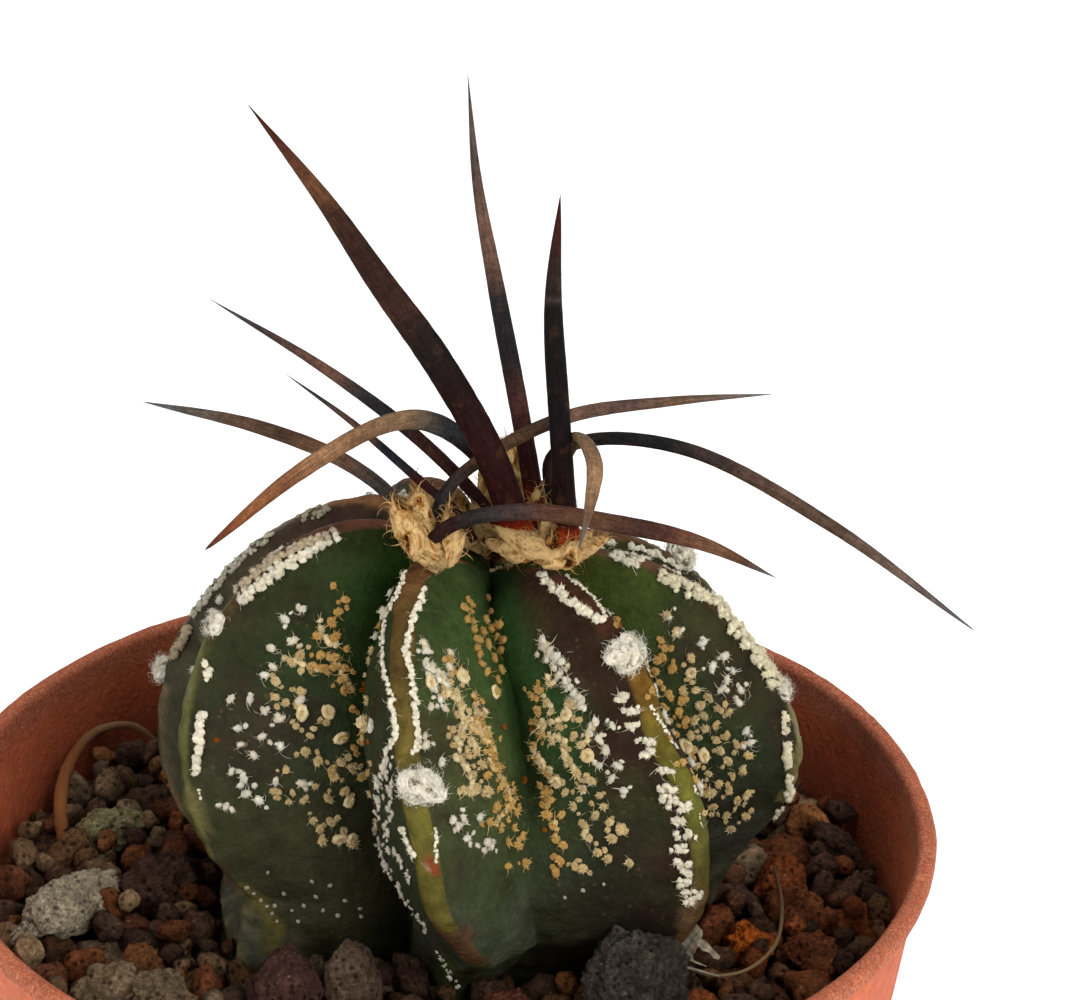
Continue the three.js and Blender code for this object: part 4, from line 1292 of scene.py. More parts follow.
WHITE = linear((220, 212, 190))
CREAM = linear((224, 203, 156))
GOLD = linear((216, 178, 110))
AMBER = linear((156, 90, 28))
CREST_WHITE = linear((238, 229, 204))
CREST_CREAM = linear((226, 216, 184))
BAR_PALE = linear((186, 168, 138))
BAR_TAN = linear((150, 112, 84))

FLECKS_FRONT_LEFT = {
    "white": [(302, 609), (285, 619), (293, 641), (271, 648), (273, 667), (265, 675), (231, 699), (250, 699),
              (264, 711), (280, 719), (238, 728), (254, 755), (244, 779), (246, 793), (276, 781), (302, 783),
              (226, 806), (281, 746), (300, 700), (241, 744), (262, 736), (232, 771), (259, 800)],
    "cream": [(292, 662), (300, 655), (276, 681), (275, 697), (286, 702), (301, 691), (302, 713), (326, 722),
              (305, 751), (318, 760), (330, 770), (348, 757), (362, 775), (277, 791), (289, 801), (305, 799),
              (328, 798), (313, 820), (332, 822), (320, 828), (343, 830), (341, 762), (352, 768), (334, 776),
              (310, 735), (296, 726), (286, 770), (315, 786), (345, 790), (322, 840), (352, 842)],
    "gold": [(331, 622), (317, 636), (335, 637), (346, 649), (320, 655), (334, 657), (311, 666), (322, 668),
             (334, 667), (345, 668), (340, 680), (344, 690), (352, 709), (343, 738), (354, 748), (331, 773),
             (361, 777), (333, 586), (345, 600), (338, 612)],
    "amber": [(362, 690), (369, 742), (217, 740), (364, 684), (360, 720)],
    "rings": [(328, 712), (340, 738), (349, 801), (340, 838), (352, 838), (302, 713), (362, 722)],
    "dots": [(268, 872), (312, 881), (330, 885), (292, 910), (304, 905), (323, 910), (360, 908), (361, 916),
             (284, 893), (345, 900), (316, 896), (338, 915), (298, 921), (275, 905), (247, 887), (254, 893),
             (261, 900), (267, 906), (272, 913), (277, 921)],
}
FLECKS_FRONT = {
    "white": [(424, 645), (426, 652), (425, 665), (428, 675), (437, 673), (445, 685), (448, 692), (430, 707),
              (444, 708), (440, 700), (425, 745), (441, 762), (424, 736), (452, 820), (462, 818), (479, 817),
              (466, 838), (483, 850), (490, 846), (457, 826), (486, 842), (433, 690)],
    "cream": [(450, 675), (449, 683), (443, 695), (455, 693), (460, 705), (456, 715), (466, 720), (462, 735),
              (472, 727), (469, 742), (475, 750), (453, 745), (460, 760), (472, 775), (476, 787), (463, 790),
              (470, 792), (487, 790), (480, 733), (452, 730), (476, 712), (467, 755), (482, 765)],
    "gold": [(450, 660), (450, 668), (474, 697), (482, 715), (486, 735), (490, 750), (495, 765), (500, 785),
             (512, 790), (510, 805), (488, 822), (507, 842), (518, 846), (524, 864), (507, 866), (482, 725),
             (490, 742), (493, 757), (476, 720), (498, 772), (505, 797), (515, 812), (500, 830), (513, 828),
             (496, 806), (486, 775), (521, 836)],
    "amber": [(474, 701), (503, 727), (525, 780), (431, 683)],
    "rings": [(430, 683), (462, 677), (494, 692)],
    "furrow": [(467, 600), (463, 608), (470, 612), (466, 620), (473, 630), (472, 622), (477, 640),
               (487, 598), (485, 620), (500, 625), (487, 645), (479, 655), (502, 650), (486, 672),
               (500, 670), (494, 692), (476, 648), (482, 632), (492, 612), (498, 637), (493, 658),
               (481, 664), (497, 680), (471, 605), (504, 640), (490, 629)],
}
FLECKS_FRONT_RIGHT = {
    "white": [(543, 640), (545, 648), (551, 652), (557, 658), (562, 662), (560, 675), (566, 681), (570, 687),
              (578, 697), (574, 693), (590, 733), (600, 740), (613, 726), (548, 660), (555, 668), (582, 707),
              (606, 750), (618, 765), (624, 790), (612, 778), (600, 765), (596, 722)],
    "cream": [(550, 683), (548, 702), (567, 715), (545, 725), (565, 745), (570, 760), (543, 763), (588, 755),
              (556, 780), (592, 780), (583, 788), (575, 866), (583, 868), (629, 862), (620, 829), (612, 838),
              (586, 826), (590, 838), (552, 712), (560, 727), (575, 735), (582, 745), (553, 740), (577, 772),
              (566, 792), (600, 795), (604, 806), (574, 806), (596, 815), (610, 822), (580, 720), (570, 703),
              (598, 852), (608, 858)],
    "gold": [(532, 695), (538, 710), (535, 745), (550, 800), (560, 860), (543, 805), (556, 840), (536, 722),
             (541, 735), (537, 758), (548, 773), (541, 785), (547, 815), (553, 826), (562, 815), (540, 690),
             (545, 795), (563, 845), (556, 872)],
    "amber": [(533, 730), (545, 830)],
    "rings": [(567, 715), (588, 755), (557, 781), (543, 763)],
    "dots": [(565, 897), (583, 890), (604, 884)],
}
FLECKS_RIGHT = {
    "white": [(702, 643), (724, 656), (726, 680), (740, 690), (738, 702), (745, 730), (668, 617), (676, 633),
              (712, 666), (732, 671), (750, 742), (720, 690)],
    "cream": [(666, 615), (676, 632), (690, 658), (690, 673), (695, 690), (700, 705), (703, 715), (728, 712),
              (715, 724), (705, 728), (690, 735), (726, 735), (685, 745), (703, 755), (720, 750), (748, 755),
              (727, 760), (708, 773), (732, 776), (710, 793), (728, 790), (746, 793), (725, 815), (745, 815),
              (716, 740), (736, 745), (697, 765), (742, 770), (718, 783), (736, 800), (712, 806), (730, 828),
              (682, 690), (708, 697), (716, 708), (694, 720)],
    "gold": [(616, 620), (660, 640), (662, 657), (655, 671), (668, 693), (680, 700), (651, 690), (670, 720),
             (685, 720), (672, 668), (664, 648), (659, 682), (678, 711), (676, 734), (664, 706), (690, 752),
             (682, 762), (694, 780), (700, 792), (657, 660)],
    "amber": [(645, 655), (618, 626)],
    "rings": [(690, 673), (703, 755), (685, 745)],
}

# Rows of white scales along the crests: the line by its pixels, its width and its colour
CREST_ROWS = [
    ([(405, 573), (401, 588), (393, 604), (388, 615), (384, 630), (383, 645), (384, 660), (386, 675),
      (390, 690), (393, 700)], 0.5, CREST_WHITE),
    ([(393, 700), (395, 715), (397, 733), (391, 745), (386, 758), (382, 775)], 0.6, CREST_WHITE),
    ([(424, 588), (421, 598), (418, 605), (414, 613), (412, 620), (409, 632), (408, 640), (405, 650),
      (408, 660), (409, 669), (411, 678), (413, 690), (415, 705), (415, 720), (417, 735), (417, 745),
      (414, 753)],
     0.62, CREST_WHITE),
    ([(434, 828), (435, 840), (436, 852), (436, 862)], 0.4, CREST_WHITE),
    ([(404, 828), (408, 838), (413, 850), (414, 858)], 0.6, CREST_WHITE),
    ([(543, 576), (551, 585), (558, 591), (567, 599), (575, 606), (583, 612), (592, 617), (601, 622)],
     0.85, CREST_WHITE),
    ([(566, 577), (575, 583), (584, 590), (592, 597), (599, 606), (605, 616)], 0.42, CREST_WHITE),
    ([(650, 706), (656, 715), (662, 725), (668, 736), (675, 748)], 0.34, CREST_WHITE),
    ([(693, 786), (696, 794)], 0.3, CREST_WHITE),
    ([(699, 815), (701, 824)], 0.2, CREST_WHITE),
    ([(492, 570), (502, 567), (513, 565)], 0.45, CREAM),
    ([(616, 558), (626, 561), (635, 563)], 0.7, CREST_WHITE * 0.85),
    ([(784, 712), (785, 722), (785, 732)], 0.8, CREST_CREAM),
    ([(786, 742), (787, 753), (787, 764)], 0.85, CREST_CREAM),
    ([(788, 774), (788, 785), (787, 797)], 0.85, CREST_CREAM),
    ([(784, 808), (782, 818)], 0.6, CREST_CREAM * 0.8),
    ([(207, 664), (208, 672), (209, 678)], 0.8, CREST_WHITE),
    ([(202, 713), (201, 722), (200, 731), (199, 740)], 0.85, CREST_WHITE),
    ([(198, 748), (197, 757), (196, 766), (196, 774)], 0.85, CREST_WHITE),
    ([(199, 791), (201, 799)], 0.4, CREST_WHITE),
    ([(322, 543), (309, 551), (296, 559), (283, 566), (271, 574), (259, 583), (248, 592), (240, 599)],
     0.75, CREST_WHITE * 0.9),
    ([(316, 539), (303, 545), (290, 553), (277, 561), (265, 569), (254, 578), (244, 587)], 0.7, BAR_PALE),
    ([(188, 634), (180, 646), (173, 658)], 1.0, BAR_PALE),
    ([(191, 630), (184, 642), (177, 654)], 0.9, BAR_PALE * 0.85),
]

# Rows at the very edge of the plant: the line, how far in they reach in pixels, their size and colour
EDGE_ROWS = [
    ([(271, 534), (252, 556), (232, 578), (214, 600), (200, 618)], (0, 8), 0.36, CREST_WHITE * 0.7),
    ([(318, 494), (304, 499), (290, 507)], (1, 12), 0.34, CREST_CREAM * 0.55),
]

# Fluffy clusters beside a crest: where each is, and half its width in pixels
CREST_CLUSTERS = [
    (622, 698, 6), (631, 710, 8), (633, 727, 7), (645, 742, 8), (647, 751, 7), (665, 771, 6), (667, 788, 8),
    (671, 799, 9), (678, 807, 10), (676, 821, 9), (684, 834, 11), (678, 847, 8), (682, 862, 8),
    (683, 871, 7), (684, 882, 6), (691, 892, 10), (688, 899, 9), (663, 577, 8), (672, 582, 10),
    (682, 587, 11), (692, 592, 11), (701, 597, 11), (709, 601, 10), (717, 606, 8), (724, 613, 8),
    (731, 621, 9), (738, 628, 9), (744, 635, 9), (750, 642, 9), (755, 650, 9), (761, 658, 9), (767, 666, 9),
    (772, 675, 9), (777, 683, 8), (618, 557, 7), (627, 561, 8), (636, 563, 6),
]
# The clusters of the far crest are the ones right of this pixel and above this one
FAR_CREST_X = 655
FAR_CREST_Y = 700

# Short bars of scales laid across a crest: its line, the bars' half widths along it and their gap, in
# pixels
BAR_LINE = [(342, 532), (331, 536), (320, 541), (306, 548), (293, 556), (280, 563), (268, 571), (256, 581),
            (246, 590), (234, 600)]
BAR_WIDTHS = (3, 6, 9, 9, 6)
BAR_GAP = 8
BAR_WHITE = CREST_WHITE * 0.95

# Lines of loose white scales beside the front rib's foot
LACE = [
    [(384, 768), (381, 785), (383, 800), (379, 815), (376, 830), (378, 845)],
    [(392, 757), (389, 772), (391, 790), (392, 806), (390, 820), (388, 834)],
    [(388, 834), (384, 846), (383, 858), (387, 870)],
    [(398, 850), (400, 862), (406, 870), (412, 880)],
    [(380, 855), (390, 868), (398, 884), (404, 896)],
    [(404, 896), (412, 908), (420, 918), (428, 932)],
    [(436, 950), (444, 962), (452, 974), (458, 986)],
]


# Brown painted as shade in the pits of pads and dots
PIT_SHADE = np.array([0.5, 0.3, 0.16])


def tufted(name, seed, detail, size, hairs, reach, pit=0.0, fan=1.0, thick=0.11, middle=(1, 1, 1)):
    """A small pad with pale pointed hairs round its rim, and a pit in its middle if it has one, painted
    brown as shade.
    """
    core = lump(name, detail, (1, 1, 1), 0.26, seed)
    points = corners_of(core) / MM
    inner = np.clip(1 - np.hypot(points[:, 0], points[:, 1]) / 0.62, 0, 1) * (points[:, 2] > 0)
    points[:, 2] -= pit * inner
    place_corners(core, points * np.array(size) * MM)
    # The pit is painted brown and the core takes the middle colour: painted shade in the pad's middle
    paint(core, mix(np.ones((len(points), 3)) * middle, PIT_SHADE, inner * min(1, pit * 1.4)))
    draw = random.Random(seed)
    parts = [core]
    for k in range(hairs):
        turn = 2 * math.pi * fan * (k + draw.uniform(-0.4, 0.4)) / hairs
        length = draw.uniform(*reach)
        deselect()
        bpy.ops.mesh.primitive_cone_add(vertices=3, radius1=thick * MM, depth=length * MM)
        hair = bpy.context.object
        lean = Vector((math.cos(turn), math.sin(turn), draw.uniform(0.0, 1.2))).normalized()
        hair.data.transform(turned(lean * (length / 2 * MM), normal=lean))
        hair.location = (0, 0, 0)
        ends = np.linalg.norm(corners_of(hair), axis=1) / (length * MM)
        # Each hair is painted darker at its root, as shade by the core, and paler towards its tip
        paint(hair, np.ones((len(ends), 3)) * (0.85 + 0.3 * ends)[:, None])
        parts.append(hair)
    return join(name, parts)


HAIR_SIDES = 3
HAIR_JOINTS = 6
HAIR_RADIUS = 0.045


def strand(name, seed, curl):
    """A fine tapered hair one millimetre long that leaves along +Z and curls over."""
    rings = []
    turns = turns_of(HAIR_SIDES)
    draw = random.Random(seed)
    sway = draw.uniform(-0.5, 0.5)
    for k in range(HAIR_JOINTS + 1):
        share = k / HAIR_JOINTS
        bend = curl * share * share
        centre = np.array([math.sin(bend) * share, sway * share * share * 0.6, math.cos(bend) * share])
        radius = HAIR_RADIUS * (1 - 0.75 * share if k < HAIR_JOINTS else 0)
        rings.append(centre + radius * np.stack([np.cos(turns), np.sin(turns), 0 * turns], -1))
    rings.insert(0, np.broadcast_to(rings[0][:-1].mean(0), rings[0].shape))
    rings = np.array(rings)
    return rolled_sheet(name, rings, np.ones_like(rings))


# Darker, browner cores for pads and dots, painted as shade in their middles
SHADED_CORE = (0.72, 0.66, 0.54)
SCALES = [tufted(f"scale_{i}", 500 + i, 2, (0.54, 0.44, 0.36), 13, (0.5, 0.95), 0, 0.8 + 0.03 * i, 0.13)
          for i in range(8)]
PADS = [tufted(f"pad_{i}", 520 + i, 2, (0.54, 0.48, 0.32), 14, (0.5, 0.84), 0.4, 1, 0.14, SHADED_CORE)
        for i in range(8)]
DOTS = [tufted(f"dot_{i}", 530 + i, 2, (0.54, 0.48, 0.42), 10, (0.5, 0.72), 0.2, 1, 0.14, SHADED_CORE)
        for i in range(6)]
CLUMPS = [tufted(f"clump_{i}", 540 + i, 2, (0.52, 0.48, 0.42), 10, (0.5, 0.85), thick=0.14)
          for i in range(8)]
CUPS = [tufted(f"cup_{i}", 580 + i, 3, (0.72, 0.66, 0.4), 9, (0.7, 0.95), 1.0, thick=0.16)
        for i in range(3)]
HAIRS = [strand(f"hair_{i}", 600 + i, curl) for i, curl in enumerate((0.3, 0.7, 1.1, 1.5, 2))]


def set_scale(kept, models, spot, size, colour, draw, lift=0.15, stretch=None):
    """Sets a copy of one of the models on the skin, at a place and normal."""
    place, normal = spot
    lean = drift(draw, 0.25)
    model = models[draw.randrange(len(models))]
    shape = stretch or (draw.uniform(0.85, 1.25), draw.uniform(0.75, 1), draw.uniform(0.7, 1.1))
    matrix = turned(place + normal * (size * lift * MM), size, normal=(normal + lean).normalized(),
                    spin=any_turn(draw), stretch=shape)
    kept.append(copy_of(model, matrix, colour * draw.uniform(0.86, 1.08)))


def hair_matrix(place, lengths, lean, widths, draw):
    """Puts a hair of a random length and width at a place in metres, along a line."""
    width = draw.uniform(*widths)
    return turned(place, draw.uniform(*lengths), normal=lean.normalized(), spin=any_turn(draw),
                  stretch=(width, width, 1))


def set_hairs(kept, spot, count, length, colour, draw, sink=0.05):
    """Fine hairs that spread from a spot of the skin, mostly along it and downwards."""
    place, normal = spot
    for _ in range(count):
        lean = drift(draw)
        lean = lean - normal * lean.dot(normal) + normal * draw.uniform(0.15, 0.9) + Vector((0, 0, -0.25))
        root = place - normal * (sink * MM)
        matrix = hair_matrix(root, (length * 0.7, length * 1.3), lean, (0.9, 1.5), draw)
        kept.append(copy_of(HAIRS[draw.randrange(len(HAIRS))], matrix, colour * draw.uniform(0.9, 1.12)))


def lay_bar(kept, ends, width, colour, draw):
    """A fluffy block from one spot of the skin to another, as overlapping scales."""
    (first, normal), (last, _) = ends
    length = (last - first).length / MM
    count = max(2, round(length / (0.55 * width)))
    for k in range(count + 1):
        share = k / count
        place = first.lerp(last, share) + drift(draw, 0.06) * MM
        tan = 0.7 * draw.uniform(0.4, 1) * max(0, 2 * share - 0.8)
        shade = mix(colour, BAR_TAN, tan) * draw.uniform(0.86, 1.05)
        set_scale(kept, CLUMPS, (place, normal), width * draw.uniform(0.8, 1.04), shade, draw, 0.08,
                  stretch=(draw.uniform(0.8, 1.1), draw.uniform(0.8, 1.1), 0.7))
        if draw.random() < 0.5:
            set_hairs(kept, (place, normal), 1, 0.6, shade, draw)


# Kinds of scales: the piece each goes into, its models, sizes, colour and number of fine hairs
SCALE_KINDS = {
    "white": ("white", SCALES, (0.46, 0.66), WHITE, 6),
    "cream": ("cream", PADS, (0.48, 0.7), CREAM, 3),
    "gold": ("gold", PADS, (0.48, 0.66), GOLD, 2),
    "furrow": ("gold", DOTS, (0.5, 0.7), GOLD * 0.9, 2),
    "amber": ("gold", PADS, (0.34, 0.46), AMBER, 0),
    "rings": ("cream", CUPS, (0.58, 0.72), CREAM * 1.1, 2),
    "dots": ("white", CLUMPS, (0.24, 0.36), WHITE * 0.55, 0),
}
KINDS_WITH_SMALL_ONES = ("white", "cream", "gold")

# Chains of fluffy scales, by their spots: the line, the size in millimetres and the kind
CHAINS = [
    ([(424, 643), (428, 660), (437, 673), (448, 670), (451, 655)], 0.44, "white"),
    ([(461, 668), (464, 681)], 0.4, "gold"),
    ([(440, 676), (448, 694), (461, 704), (463, 722), (456, 741), (458, 760), (470, 776), (474, 791)], 0.46,
     "cream"),
    ([(460, 792), (472, 791), (486, 793)], 0.42, "cream"),
    ([(463, 726), (476, 716), (484, 712)], 0.42, "cream"),
    ([(475, 697), (478, 732), (489, 742), (489, 764), (500, 777), (508, 791), (511, 803), (501, 812),
      (497, 823)],
     0.44, "gold"),
    ([(469, 741), (478, 753)], 0.4, "cream"),
    ([(543, 638), (554, 653), (566, 665), (561, 674), (570, 686)], 0.36, "white"),
    ([(549, 676), (553, 684)], 0.4, "cream"),
    ([(570, 708), (563, 718), (551, 723), (540, 723), (545, 732), (556, 738), (566, 744), (563, 756),
      (572, 768)],
     0.44, "cream"),
    ([(546, 697), (549, 704)], 0.42, "cream"),
    ([(533, 747), (541, 762), (551, 771), (558, 782)], 0.42, "cream"),
    ([(579, 697), (584, 708)], 0.36, "white"),
    ([(592, 728), (590, 740)], 0.38, "cream"),
    ([(589, 776), (584, 791)], 0.36, "white"),
    ([(557, 824), (557, 838)], 0.44, "gold"),
    ([(586, 826), (587, 836)], 0.42, "cream"),
    ([(318, 622), (322, 636), (334, 645)], 0.44, "cream"),
    ([(326, 655), (340, 668), (351, 690)], 0.44, "gold"),
    ([(283, 657), (300, 662), (318, 668)], 0.42, "cream"),
]


def set_flecks(kept, kind, x, y, draw):
    """A scale at a pixel with its hairs, and a few smaller ones by it."""
    home, models, sizes, colour, hairs = SCALE_KINDS[kind]
    spot = on_body(x, y)
    if spot is None:
        return
    shade = colour * (1 + 0.12 * draw.uniform(-1, 1) * np.array([0.3, 0.6, 1]))
    set_scale(kept[home], models, spot, draw.uniform(*sizes), shade, draw)
    set_hairs(kept[home], spot, hairs, 0.62, shade * 1.1, draw)
    if kind not in KINDS_WITH_SMALL_ONES:
        return
    for _ in range(draw.choice((0, 1, 2, 2))):
        near = near_body(x, y, 9, 9, draw)
        if near is not None:
            set_scale(kept[home], models, near, draw.uniform(0.24, 0.46), shade, draw)


def make_face_scales():
    draw = random.Random(7)
    kept = {"white": [], "cream": [], "gold": []}
    for face in (FLECKS_FRONT_LEFT, FLECKS_FRONT, FLECKS_FRONT_RIGHT, FLECKS_RIGHT):
        for kind, spots in face.items():
            for x, y in spots:
                set_flecks(kept, kind, x, y, draw)
    for line, size, kind in CHAINS:
        home, _, _, colour, _ = SCALE_KINDS[kind]
        for spot in spots_along(line, 5, 2.6, 2, draw):
            shade = mix(colour, CREAM, draw.uniform(0, 0.7)) * draw.uniform(0.85, 1.1)
            set_scale(kept[home], SCALES, spot, size * draw.uniform(0.8, 1.2), shade, draw)
            set_hairs(kept[home], spot, 3, 0.7, shade * 1.05, draw)
    scatter_hidden(kept, draw)
    for kind in ("white", "cream"):
        finish(join("scales_" + kind, kept[kind]), "white_wool", WHITE_TUFT)
    finish(join("scales_gold", kept["gold"]), "wool", GOLD_TUFT)


# Faces that the photograph doesn't show, as rib and side: their scales follow a rule
HIDDEN_FACES = [(RIGHT, 1), (BACK_RIGHT, -1), (BACK_RIGHT, 1), (BACK, -1), (BACK, 1), (BACK_LEFT, -1),
                (BACK_LEFT, 1), (LEFT, -1), (LEFT, 1), (FRONT_LEFT, -1), (FRONT, -1), (FRONT_RIGHT, 1)]
NARROW_FACES = [(LEFT, 1), (FRONT_LEFT, -1), (FRONT, -1), (FRONT_RIGHT, 1)]

# Crests that it doesn't show, as rib, side, and first and last polar angle of their rows
HIDDEN_ROWS = [
    (RIGHT, 1, 24, 104), (BACK_RIGHT, -1, 20, 98), (BACK_RIGHT, 1, 20, 98), (BACK, -1, 48, 98),
    (BACK, 1, 48, 98), (BACK_LEFT, -1, 54, 98), (BACK_LEFT, 1, 54, 98), (LEFT, -1, 24, 108),
    (FRONT_LEFT, -1, 44, 70),
]


def on_face(index, side, angle, share):
    point = face_points(index, side, row_at(angle), share)[0]
    return body_tree.find_nearest(Vector(point) * MM)[:2]


def scatter_hidden(kept, draw):
    for index, side in HIDDEN_FACES:
        for _ in range(30 if (index, side) in NARROW_FACES else 74):
            angle = draw.gauss(62, 17)
            share = min(max(draw.gauss(0.5, 0.2), 0.12), 0.9)
            if not 24 < angle < 104:
                continue
            kind = "gold" if share < 0.38 else "white" if share > 0.68 or draw.random() < 0.25 else "cream"
            _, models, _, colour, _ = SCALE_KINDS[kind]
            size = draw.uniform(0.5, 0.76) if kind == "white" else draw.uniform(0.4, 0.64)
            set_scale(kept[kind], models, on_face(index, side, angle, share), size, colour, draw)


def bar_ends(middle, across, first, last):
    """The two furthest spots of a bar that lie on the same rib as its middle."""
    spots = [on_body(*(middle + across * share)) for share in np.linspace(first, last, 9)]
    home = on_body(*middle)
    if home is None:
        return None
    spots = [spot for spot in spots if spot is not None and (spot[0] - home[0]).length < 1.5 * MM]
    if len(spots) < 3:
        return None
    return spots[0], spots[-1]


def at_edge(x, y, inset):
    """The spot a little inside the plant's outline, on the line from a pixel towards the plant's middle."""
    start = np.array([x, y])
    ahead = np.array(PLANT_PIXEL, float) - start
    ahead /= np.hypot(*ahead)
    for step in range(-30, 40):
        near = start + ahead * step
        if sight(*near)[0] is not None:
            return on_body(*(near + ahead * inset))
    return None


def lay_edge_rows(rows, draw):
    for line, (first, last), size, colour in EDGE_ROWS:
        for x, y in spread(line, 1.5):
            spot = at_edge(x, y, draw.uniform(first, last))
            if spot is not None:
                width = draw.uniform(0.75, 1.2) * size
                set_scale(rows, SCALES, spot, width, colour * draw.uniform(0.8, 1.1), draw, 0.2)


def lay_crest_rows(rows, draw):
    for line, width, colour in CREST_ROWS:
        for spot in spots_along(line, 2.1, 0.21 * width / PIXEL_MM, 1.5, draw):
            set_scale(rows, CLUMPS, spot, draw.uniform(0.42, 0.72) * width, colour, draw, 0.3)
            if draw.random() < 0.4:
                set_hairs(rows, spot, 1, 0.5, colour, draw, -0.05)


def lay_clusters(rows, draw):
    for x, y, half in CREST_CLUSTERS:
        far = x > FAR_CREST_X and y < FAR_CREST_Y
        colour = CREST_CREAM if far else CREST_WHITE * 0.95
        for _ in range(8):
            spot = near_body(x, y, half, 3.5, draw)
            if spot is not None:
                size = draw.uniform(0.4, 0.62) if far else draw.uniform(0.3, 0.48)
                set_scale(rows, SCALES, spot, size, colour, draw, 0.3)
                set_hairs(rows, spot, 1, 0.6, colour, draw)


def lay_bars(rows, draw):
    steps = spread(BAR_LINE, BAR_GAP)
    for k in range(1, len(steps) - 1):
        ahead = steps[k + 1] - steps[k - 1]
        ahead = ahead / np.hypot(*ahead)
        side = np.array([-ahead[1], ahead[0]])
        half = np.interp(k / (len(steps) - 1), np.linspace(0, 1, len(BAR_WIDTHS)), BAR_WIDTHS)
        across = (side + ahead * draw.uniform(-0.25, 0.25)) * half
        shade = BAR_WHITE * draw.uniform(0.8, 1.05)
        cuts = [-1, draw.uniform(-0.4, 0.4), 1] if draw.random() < 0.3 else [-1, 1]
        for first, last in zip(cuts, cuts[1:]):
            ends = bar_ends(steps[k], across, first + draw.uniform(-0.12, 0.12),
                            last + draw.uniform(-0.12, 0.12))
            if ends is not None:
                lay_bar(rows, ends, BAR_GAP * PIXEL_MM * draw.uniform(0.92, 1.05), shade, draw)


def lay_lace(rows, draw):
    for line in LACE:
        for spot in spots_along(line, 3, 3, 1.5, draw):
            set_scale(rows, SCALES, spot, draw.uniform(0.2, 0.42), WHITE, draw, 0.3)


def lay_hidden_rows(rows, draw):
    for index, side, first, last in HIDDEN_ROWS:
        angle = first
        while angle < last:
            angle += draw.uniform(0.8, 1.4)
            if noise.noise(Vector((index * 7 + side * 3, angle * 0.16, 0.5))) > -0.12:
                spot = on_face(index, side, angle, draw.uniform(0.97, 1.0))
                set_scale(rows, CLUMPS, spot, draw.uniform(0.3, 0.56), WHITE, draw, 0.3)


def make_crest_rows():
    draw = random.Random(11)
    for name, steps in (
        ("crest_scale_rows", (lay_edge_rows, lay_crest_rows)),
        ("crest_scale_clusters", (lay_clusters, lay_bars, lay_lace, lay_hidden_rows)),
    ):
        rows = []
        for step in steps:
            step(rows, draw)
        finish(join(name, rows), "white_wool", WHITE_TUFT)


make_face_scales()
make_crest_rows()


# Woolly tufts of the old areoles, one a rib, and the brown wool of the crown

TUFT_WHITE = linear((248, 242, 224))
TUFT_SIZE = {FRONT: 0.94, FRONT_RIGHT: 0.96, RIGHT: 0.62, LEFT: 0.7, FRONT_LEFT: 0.64}
TUFT_SHIFT = {FRONT: (0.55, 0.7), RIGHT: (0.1, -0.7), FRONT_RIGHT: (-0.2, -0.25), BACK_LEFT: (0, -3.8)}
TUFT_SPREAD = {FRONT: (1.3, 0.9), FRONT_RIGHT: (1.05, 1.05)}
TUFT_LUMPS = [(0, 0, 0.95), (-0.7, 0.2, 0.68), (0.72, -0.1, 0.68), (0.2, 0.6, 0.62), (-0.3, -0.58, 0.62),
              (0.55, 0.5, 0.5), (-0.58, 0.6, 0.46)]


def make_rib_tufts():
    for index, rib in enumerate(RIBS):
        draw = random.Random(900 + index)
        edges = crest_edges(rib, row_at(rib["tuft"]))
        centre, normal, away = (Vector(part[0]) for part in edges[:3])
        low = normal.cross(away)
        full = TUFT_SIZE.get(index, 0.9)
        right, drop = TUFT_SHIFT.get(index, (0, 0))
        wide, tall = TUFT_SPREAD.get(index, (1, 1))
        centre = centre + away * right + low * drop
        parts = []
        for k, (side, down, size) in enumerate(TUFT_LUMPS):
            spot = centre + (away * side * wide + low * down * tall) * full + normal * (0.15 * full)
            lean = away * draw.uniform(-1, 1) + low * draw.uniform(-1, 1) + normal * 0.3
            lean = lean.normalized() * (0.25 * size * full)
            radius = 0.82 * size * full
            piece, points, out, _ = matted_lump(
                f"tuft_{index}_{k}", spot - lean, spot + lean, radius, radius, 1, 930 + 17 * index + k,
                TUFT_TONES, 0.9, 2.0, 5)
            parts.append(piece)
            outer = [i for i in range(len(points)) if out[i] @ np.array(normal) > -0.2]
            for i in draw.sample(outer, int(120 * size)):
                lean = Vector(out[i]) * draw.uniform(-0.1, 0.4) + drift(draw)
                root = Vector(points[i] - out[i] * 0.04) * MM
                matrix = hair_matrix(root, (0.4 * full, 0.8 * full), lean, (0.9, 1.5), draw)
                model = HAIRS[draw.randrange(2, 5)]
                parts.append(copy_of(model, matrix, TUFT_WHITE * draw.uniform(0.9, 1.1)))
        name = "rib_tuft_" + RIB_NAMES[index]
        finish(join(name + "_wool", parts), "white_wool", WHITE_TUFT, name)


